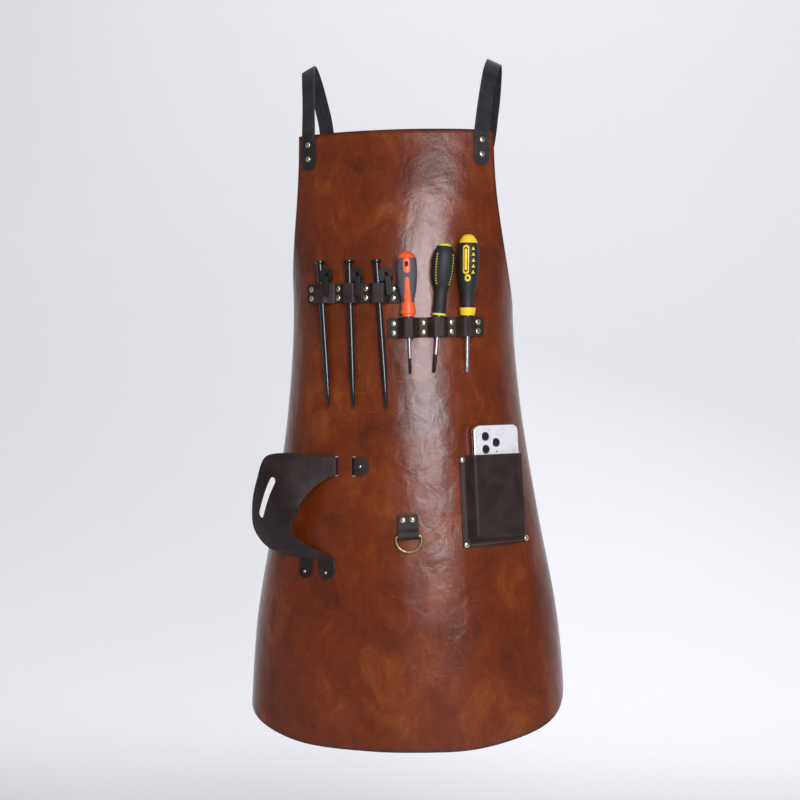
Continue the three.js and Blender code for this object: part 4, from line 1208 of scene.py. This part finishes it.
def centripetal(points, at):
    # the curve through the points with steps that suit uneven spacing, at shares of the run
    points = np.asarray(points, float)
    last = len(points) - 1
    made = []
    for share in at:
        place = share * last
        k = min(int(math.floor(place)), last - 1)
        w = place - k
        p1, p2 = points[k], points[k + 1]
        p0 = points[k - 1] if k > 0 else 2 * points[0] - points[1]
        p3 = points[k + 2] if k + 2 <= last else 2 * points[last] - points[last - 1]
        d = [max(np.linalg.norm(b - a) ** 0.5, 1e-4) for a, b in ((p0, p1), (p1, p2), (p2, p3))]
        t1 = ((p1 - p0) / d[0] - (p2 - p0) / (d[0] + d[1]) + (p2 - p1) / d[1]) * d[1]
        t2 = ((p2 - p1) / d[1] - (p3 - p1) / (d[1] + d[2]) + (p3 - p2) / d[2]) * d[1]
        made.append(p1 + t1 * w + (3 * (p2 - p1) - 2 * t1 - t2) * w ** 2 + (2 * (p1 - p2) + t1 + t2) * w ** 3)
    return np.array(made)


def slingEdge(which):
    # the route of one edge of the sling below the slits, 0 the outer and 1 the inner
    end = slingLegs["legs"][which][which]
    start = [sling["backSlit"] - 2, sling["lower" if which else "upper"], slingNear]
    feet = [[end, slingLegs["top"], slingNear], [end, slingLegs["end"], slingNear]]
    return [start] + [pair[which] for pair in slingEdges] + feet


def throughSlit(slit, start, end):
    # the strip's middle line where it goes through a slit: [along, out]
    return [[slit + 2 - 4 * t, start + (end - start) * float(smooth(t))] for t in np.linspace(0, 1, 7)]


def slingRows():
    # pairs of points across the strip, from its tip to its feet
    near, behind = slingNear + trim / 2, -sling["gap"] - trim / 2
    straight = [[x, near] for x in np.linspace(sling["tip"], sling["slit"] + 2.5, tipRows)]
    straight += throughSlit(sling["slit"], near, behind)
    straight += [[x, behind] for x in np.linspace(sling["slit"] - 4, sling["backSlit"] + 4, 8)]
    straight += throughSlit(sling["backSlit"], behind, near)
    rows = [[[x, sling["upper"], out], [x, sling["lower"], out]] for x, out in straight]
    shares = np.linspace(0, 1, 97)[1:]
    for pair in zip(centripetal(slingEdge(0), shares), centripetal(slingEdge(1), shares)):
        rows.append([[x, z, max(out, slingNear) + trim / 2] for x, z, out in pair])
    return np.array(rows)


def makeSling():
    rows = slingRows()
    shares = np.linspace(0, 1, 25)
    inner, outer = rows[:, 1][:, None], rows[:, 0][:, None]
    # the tab's round tip
    tipRun = sling["tip"] - rows[:, 0, 0]
    inset = np.where(np.arange(len(rows)) < tipRows, rounded(tipRun, 10, 12), 0)
    inset = inset / (sling["upper"] - sling["lower"])
    across = 0.5 + (shares[None] - 0.5) * (1 - 2 * inset[:, None])
    flat = inner + (outer - inner) * across[..., None]
    points = onBody(flat[..., 0], flat[..., 1], flat[..., 2])
    # the gap between its legs
    gapLeft, gapRight = slingLegs["legs"][0][1], slingLegs["legs"][1][0]
    gapHalf = (gapRight - gapLeft) / 2
    gapPlace = onPlace((gapLeft + gapRight) / 2, slingLegs["top"], onPanel)
    ring = [[-gapHalf, -45], [gapHalf, -45]]
    ring += arc(0, -4, gapHalf, gapHalf, 0, 180, 13)
    cutters = [cutterFrom("leg_gap", ring, gapPlace, 30)]
    # the hand slot
    spots = []
    for share in (slingSlot["from"], (slingSlot["from"] + slingSlot["to"]) / 2, slingSlot["to"]):
        outer, inner = [centripetal(slingEdge(which), [share])[0] for which in (0, 1)]
        spots.append([onBody(*(inner + (outer - inner) * s)) for s in (0, slingSlot["across"], 1)])
    run = spots[2][1] - spots[0][1]
    sideways = unit(spots[1][2] - spots[1][0])
    up = unit(run - sideways * (run @ sideways))
    slotPlace = basis(sideways, up, np.cross(sideways, up), spots[1][1])
    straight = (np.linalg.norm(run) - slingSlot["width"]) / 2
    half = slingSlot["width"] / 2
    ring = arc(0, straight, half, half, 0, 180, 15) + arc(0, -straight, half, half, 180, 360, 15)
    cutters.append(cutterFrom("slot", ring, slotPlace, 24))
    for left, right in slingLegs["legs"]:
        cutters += legCorners((left + right) / 2, (right - left) / 2)
    distance = np.minimum(across, 1 - across) * np.linalg.norm(rows[:, 0] - rows[:, 1], axis=1)[:, None]
    piece = leather("holster_sling", points, trim, trimSet, edgeShade(distance, darkRim),
                    None, 0.4, cutters)
    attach(piece, "apron")
    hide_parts("tool_sling")
    wide = float(np.linalg.norm(points[:, 0] - points[:, -1], axis=1).max()) * mm
    down, over = points[1:, :-1] - points[:-1, :-1], points[:-1, 1:] - points[:-1, :-1]
    stack = slingNear + trim
    spot = onPlace(sling["slit"] + 11, (sling["upper"] + sling["lower"]) / 2)
    makeRivet("holster_stud_upper", "sling_stud_upper", spot, stack, studDome)
    for k, (left, right) in enumerate(slingLegs["legs"]):
        spot = onPlace((left + right) / 2, slingLegs["end"] + 9)
        makeRivet(f"holster_stud_leg_{k + 1}", f"sling_stud_leg_{k + 1}", spot, stack, studDome)


def cutterFrom(name, ring, placed, deep):
    ring = np.asarray(ring, float)
    count = len(ring)
    points = np.concatenate([np.column_stack([ring, np.full(count, z)]) for z in (-deep / 2, deep / 2)])
    faces = [list(range(count))[::-1], [count + i for i in range(count)]]
    faces += [[i, (i + 1) % count, count + (i + 1) % count, count + i] for i in range(count)]
    return toObject(name, put(points, placed), faces, [barkEdge])


def legCorners(middle, half):
    # rounds the foot of a leg
    placed = onPlace(middle, slingLegs["end"], onPanel)
    cutters = []
    for side in (-1, 1):
        turns = np.radians(np.linspace(0, 90, 9))
        corner = [[side * half * math.sin(a), half * (1 - math.cos(a))] for a in turns]
        ring = [[side * -0.1, -1.5]] + corner + [[side * (half + 1.5), half], [side * (half + 1.5), -1.5]]
        cutters.append(cutterFrom("corner", ring[::-1] if side > 0 else ring, placed, 16))
    return cutters


makeSling()
print("sling made")

strap = {"width": 22, "thick": 2.5, "fromMiddle": 127, "overlap": 52, "rivets": [15, 36], "crown": 0.15}
# the strap's way over the shoulder: x, y, z; and down the back: how far from the middle of the back, height
overShoulder = [[129, -52, -62], [134, -28, -20], [138, 0, 0], [136, 34, -14], [129, 66, -58]]
shoulderDome = [170, 95, 108]
crossHeight = -300
downBack = [[118, -124], [72, -196], [24, -264], [0, crossHeight], [-24, -320], [-52, -344]]
buckle = {"bar": 34, "length": 48, "wire": 1.75, "run": 27, "sideGap": 2.2, "gap": 0.5, "prong": 2.6,
          "eye": 1.6, "tail": 30, "holes": [8, 12]}  # holes are counted back from the tail's tip
tabRise = 35
tabHeight = panel["top"] - panel["armhole"] - 34
barOut = trim + buckle["wire"] + seatGap


def halfGirth(height):
    # half the way round the body's oval
    a, b = float(bodySize(height, 1)), float(bodySize(height, 2))
    return math.pi * (3 * (a + b) - math.sqrt((3 * a + b) * (a + 3 * b))) / 2


tabPlaces = {name: onPlace(side * (panel["half"] - 15), tabHeight, onPanel, side * (90 + tabRise))
             for name, side in (("left", -1), ("right", 1))}


def strapStations(side, tabPlace, lift):
    # points that the strap passes and the way it faces there, from the bib to its tail
    underBar = barOut - buckle["wire"] - buckle["gap"] - strap["thick"]
    overBar = barOut + buckle["wire"] + seatGap + trim + buckle["gap"]
    points, facings = [], []

    def add(placed, y=0.0, z=0.0):
        points.append(put(np.array([0, y, z], float), placed))
        facings.append(placed[:3, 2])

    lastFlat = strap["rivets"][0] - rivet["cap"] - 1
    for depth in [strap["overlap"], *strap["rivets"][::-1], lastFlat, 0]:
        out = onPanel + (seatGap if depth == 0 else 0)
        add(onPlace(side * strap["fromMiddle"], panel["top"] - depth, out))
    for x, y, z in overShoulder:
        width, length, height = shoulderDome
        points.append(np.array([side * x, y, z], float))
        facing = [side * x / width ** 2, y / length ** 2, (z - panel["top"]) / height ** 2]
        facings.append(unit(np.array(facing)))
    for around, height in downBack:
        out = 1 + (lift if abs(around) <= strap["width"] * 1.2 else 0)
        add(onPlace(side * (halfGirth(height) - around), height, out))
    bar, run = buckle["bar"], buckle["run"]
    for y, z in [[-bar - run - 30, underBar - 0.5], [-bar - run - 6, underBar], [-bar - run + 4, underBar],
                 [-bar - 3, overBar], [-bar + 6, overBar], [-bar + buckle["tail"], overBar]]:
        add(tabPlace, y, z)
    return np.array(points), np.array(facings)


def makeStrap(name, far, side):
    lift = strap["thick"] + seatGap if side > 0 else 0
    points, facings = strapStations(side, tabPlaces[far], lift)
    count = (len(points) - 1) * 12
    at = np.linspace(0, len(points) - 1, count + 1)
    line = curveThrough(points, at)
    facing = curveThrough(facings, at)
    along = units(np.gradient(line, axis=0))
    sideways = units(np.cross(along, facing))
    outward = np.cross(sideways, along)
    run = runsAlong(line)
    total = run[-1]
    keepRows = run > 0.3
    half = strap["width"] / 2
    inset = rounded(run, half * 0.86, 11) + rounded(total - run, half * 0.86, 12)
    across = np.linspace(-1, 1, 13)
    crown = strap["crown"] * (1 - across ** 2)
    middle = line + outward * strap["thick"] / 2
    grid = middle[:, None] + sideways[:, None] * (across[None, :, None] * (half - inset)[:, None, None])
    grid = grid + outward[:, None] * crown[None, :, None]
    distance = np.minimum((1 - np.abs(across))[None] * half, np.minimum(run, total - run)[:, None])
    piece = leather(f"shoulder_belt_{name}", grid[keepRows], strap["thick"], strapSet,
                    edgeShade(distance, darkRim)[keepRows], None, 0.45)
    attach(piece, "apron")
    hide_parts(f"shoulder_strap_{name}")
    makePunches(name, line, outward, sideways, run, along)
    return float(total)


def makePunches(name, line, outward, sideways, run, along):
    # a black disc at each spare hole of the tail: painted shade standing in for the open hole
    groups = []
    for back in buckle["holes"]:
        k = int(np.searchsorted(run, run[-1] - back))
        placed = basis(sideways[k], along[k], outward[k], line[k] + outward[k] * (strap["thick"] + 0.05))
        disc, faces = lathe([[2.1, -0.6], [2.1, 0.12], [1.7, 0.16], [1.6, -0.3], [0.01, -0.35]], 20)
        groups.append([put(upright(disc), placed), faces, 0])
    points, faces, _ = merged(groups)
    piece = toObject(f"shoulder_belt_hole_shade_{name}", points, faces, [holeBlack])
    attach(piece, "apron")


def makeTab(name):
    placed = tabPlaces[name]
    foldedStrip(f"buckle_tab_{name}", f"side_tab_{name}", placed, strap["width"],
                buckle["length"], buckle["bar"], buckle["wire"], strapSet, buckle["prong"] / 2 + seatGap)
    makeRivet(f"buckle_tab_cap_{name}", f"side_tab_rivet_{name}", shifted(placed, 0, 0, -onPanel),
              onPanel + 2 * trim + seatGap)
    barPlace = shifted(placed, 0, -buckle["bar"], barOut)
    half = strap["width"] / 2 + buckle["sideGap"] + buckle["wire"]
    ring = roundedBox(-half, -buckle["run"], half, 0, 3.2, 8)
    points, faces = bentWire(ring, 144, buckle["wire"], 16)
    frameRing = toObject(f"pin_buckle_{name}", put(points, barPlace), faces, [oldBrass])
    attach(frameRing, "apron")
    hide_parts(f"buckle_frame_{name}")
    makeProng(name, barPlace)


def makeProng(name, barPlace):
    # a flattened wire: an eye round the bar, then an arm over the front bar
    rest = buckle["wire"] + seatGap
    centre = rest + buckle["eye"] / 2
    path = [[centre * math.cos(a), centre * math.sin(a)] for a in np.radians(np.linspace(215, 455, 25))]
    path += [[-x, rest + 1.2] for x in np.linspace(2.5, buckle["run"] - 4, 10)]
    path += [[-buckle["run"] + 1, rest + 1.15], [-buckle["run"] - 3.4, rest + 0.9]]
    path = np.array(path)
    along = units(np.gradient(path, axis=0))
    across = np.stack([-along[:, 1], along[:, 0]], 1)
    sides = 14
    turns = np.linspace(0, 2 * np.pi, sides, endpoint=False)
    thick = np.full(len(path), buckle["eye"] / 2)
    thick[25:] = 1.0
    thick[-3:] = [0.95, 0.85, 0.55]
    wide = np.full(len(path), buckle["prong"] / 2 - 0.05)
    wide[-3:] = [1.2, 1.05, 0.6]
    rows = []
    for p, n, t, w in zip(path, across, thick, wide):
        flat = p + np.sin(turns)[:, None] * t * n
        rows.append(np.column_stack([np.cos(turns) * w, flat]))
    faces = tubeFaces(len(path), sides) + tubeEnds(len(path), sides)
    piece = toObject(f"buckle_pin_{name}", put(np.vstack(rows), barPlace), faces, [oldBrass])
    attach(piece, f"buckle_prong_{name}")
    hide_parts(f"buckle_prong_{name}")


keeper = {"radius": 23, "rings": 15, "spokes": 61, "seam": 3.6}


def makeKeeper():
    placed = onPlace(halfGirth(crossHeight), crossHeight, 1)
    stack = 2 * (strap["thick"] + seatGap)
    out = stack + seatGap + trim / 2
    radii = np.linspace(0.02, 1, keeper["rings"])[None] * keeper["radius"]
    turns = np.linspace(0, 2 * np.pi, keeper["spokes"])[:, None]
    size = keeper["spokes"], keeper["rings"]
    grid = np.stack([radii * np.cos(turns), radii * np.sin(turns), np.full(size, out)], -1)
    piece = toObject("cross_keeper", put(grid, placed).reshape(-1, 3), gridFaces(*size), trimSet)
    weld = piece.modifiers.new("weld", "WELD")
    weld.merge_threshold = 0.05 * mm
    solid = piece.modifiers.new("thickness", "SOLIDIFY")
    solid.thickness = trim * mm
    solid.offset = 0
    solid.material_offset = 1
    solid.material_offset_rim = 2
    layer = piece.data.attributes.new("nearEdge", "FLOAT", "POINT")
    edge = edgeShade(keeper["radius"] - np.broadcast_to(radii, size), darkRim)
    layer.data.foreach_set("value", edge.astype(np.float32).ravel())
    softenEdges(settled(piece), 0.45, 2, 50)
    settled(piece)
    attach(piece, "apron")
    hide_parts("back_keeper")
    makeRivet("cross_keeper_cap", "keeper_rivet", placed, stack + trim)
    radius = keeper["radius"] - keeper["seam"]
    around = np.linspace(0, 2 * np.pi, 121)
    ring = np.column_stack([radius * np.cos(around), radius * np.sin(around), np.full(121, out + trim / 2)])
    path = put(ring, placed)
    makeStitches("keeper_stitches", path, np.broadcast_to(placed[:3, 2], path.shape))


def makeHarness():
    lengths = {}
    for name, far, side in (("left", "right", -1), ("right", "left", 1)):
        lengths[name] = makeStrap(name, far, side)
    for name, side in (("left", -1), ("right", 1)):
        makeTab(name)
        for k, depth in enumerate(strap["rivets"]):
            spot = onPlace(side * strap["fromMiddle"], panel["top"] - depth)
            makeRivet(f"shoulder_belt_cap_{name}_{k + 1}", f"strap_rivet_{name}_{k + 1}", spot,
                      onPanel + strap["thick"])
    makeKeeper()
    print("straps:", {k: round(v) for k, v in lengths.items()}, "mm")


makeHarness()


def makeFloor():
    z, wall, sweep = studio["floor"], studio["wall"], studio["sweep"]
    side = [[studio["floorFront"], z]]
    side += [[wall - sweep + sweep * math.sin(a), z + sweep * (1 - math.cos(a))]
             for a in np.radians(np.linspace(0, 90, 25))]
    side += [[wall, studio["wallTop"]]]
    half = studio["halfWidth"]
    points = np.array([[x, y, up] for y, up in side for x in (-half, half)]) / mm
    material, wired = startMaterial("studio_paper")
    fibres = noise(wired, place(wired), 40, 3, 0.5)
    depth = wired.node("ShaderNodeSeparateXYZ", {}, {0: place(wired)}, 1)
    glow = depth.stepped(0.2, 2.4).blended((0, 0, 0, 1), studio["paper"])
    setShader(material, {
        "Base Color": studio["paper"], "Roughness": 0.85 + fibres * 0.1, "Specular IOR Level": 0.1,
        "Emission Color": glow, "Emission Strength": studio["paperGlow"],
    })
    toObject("studio_sweep", points, gridFaces(len(side), 2), [material])


makeFloor()
makeCamera()
makeLights()
print("stage made")
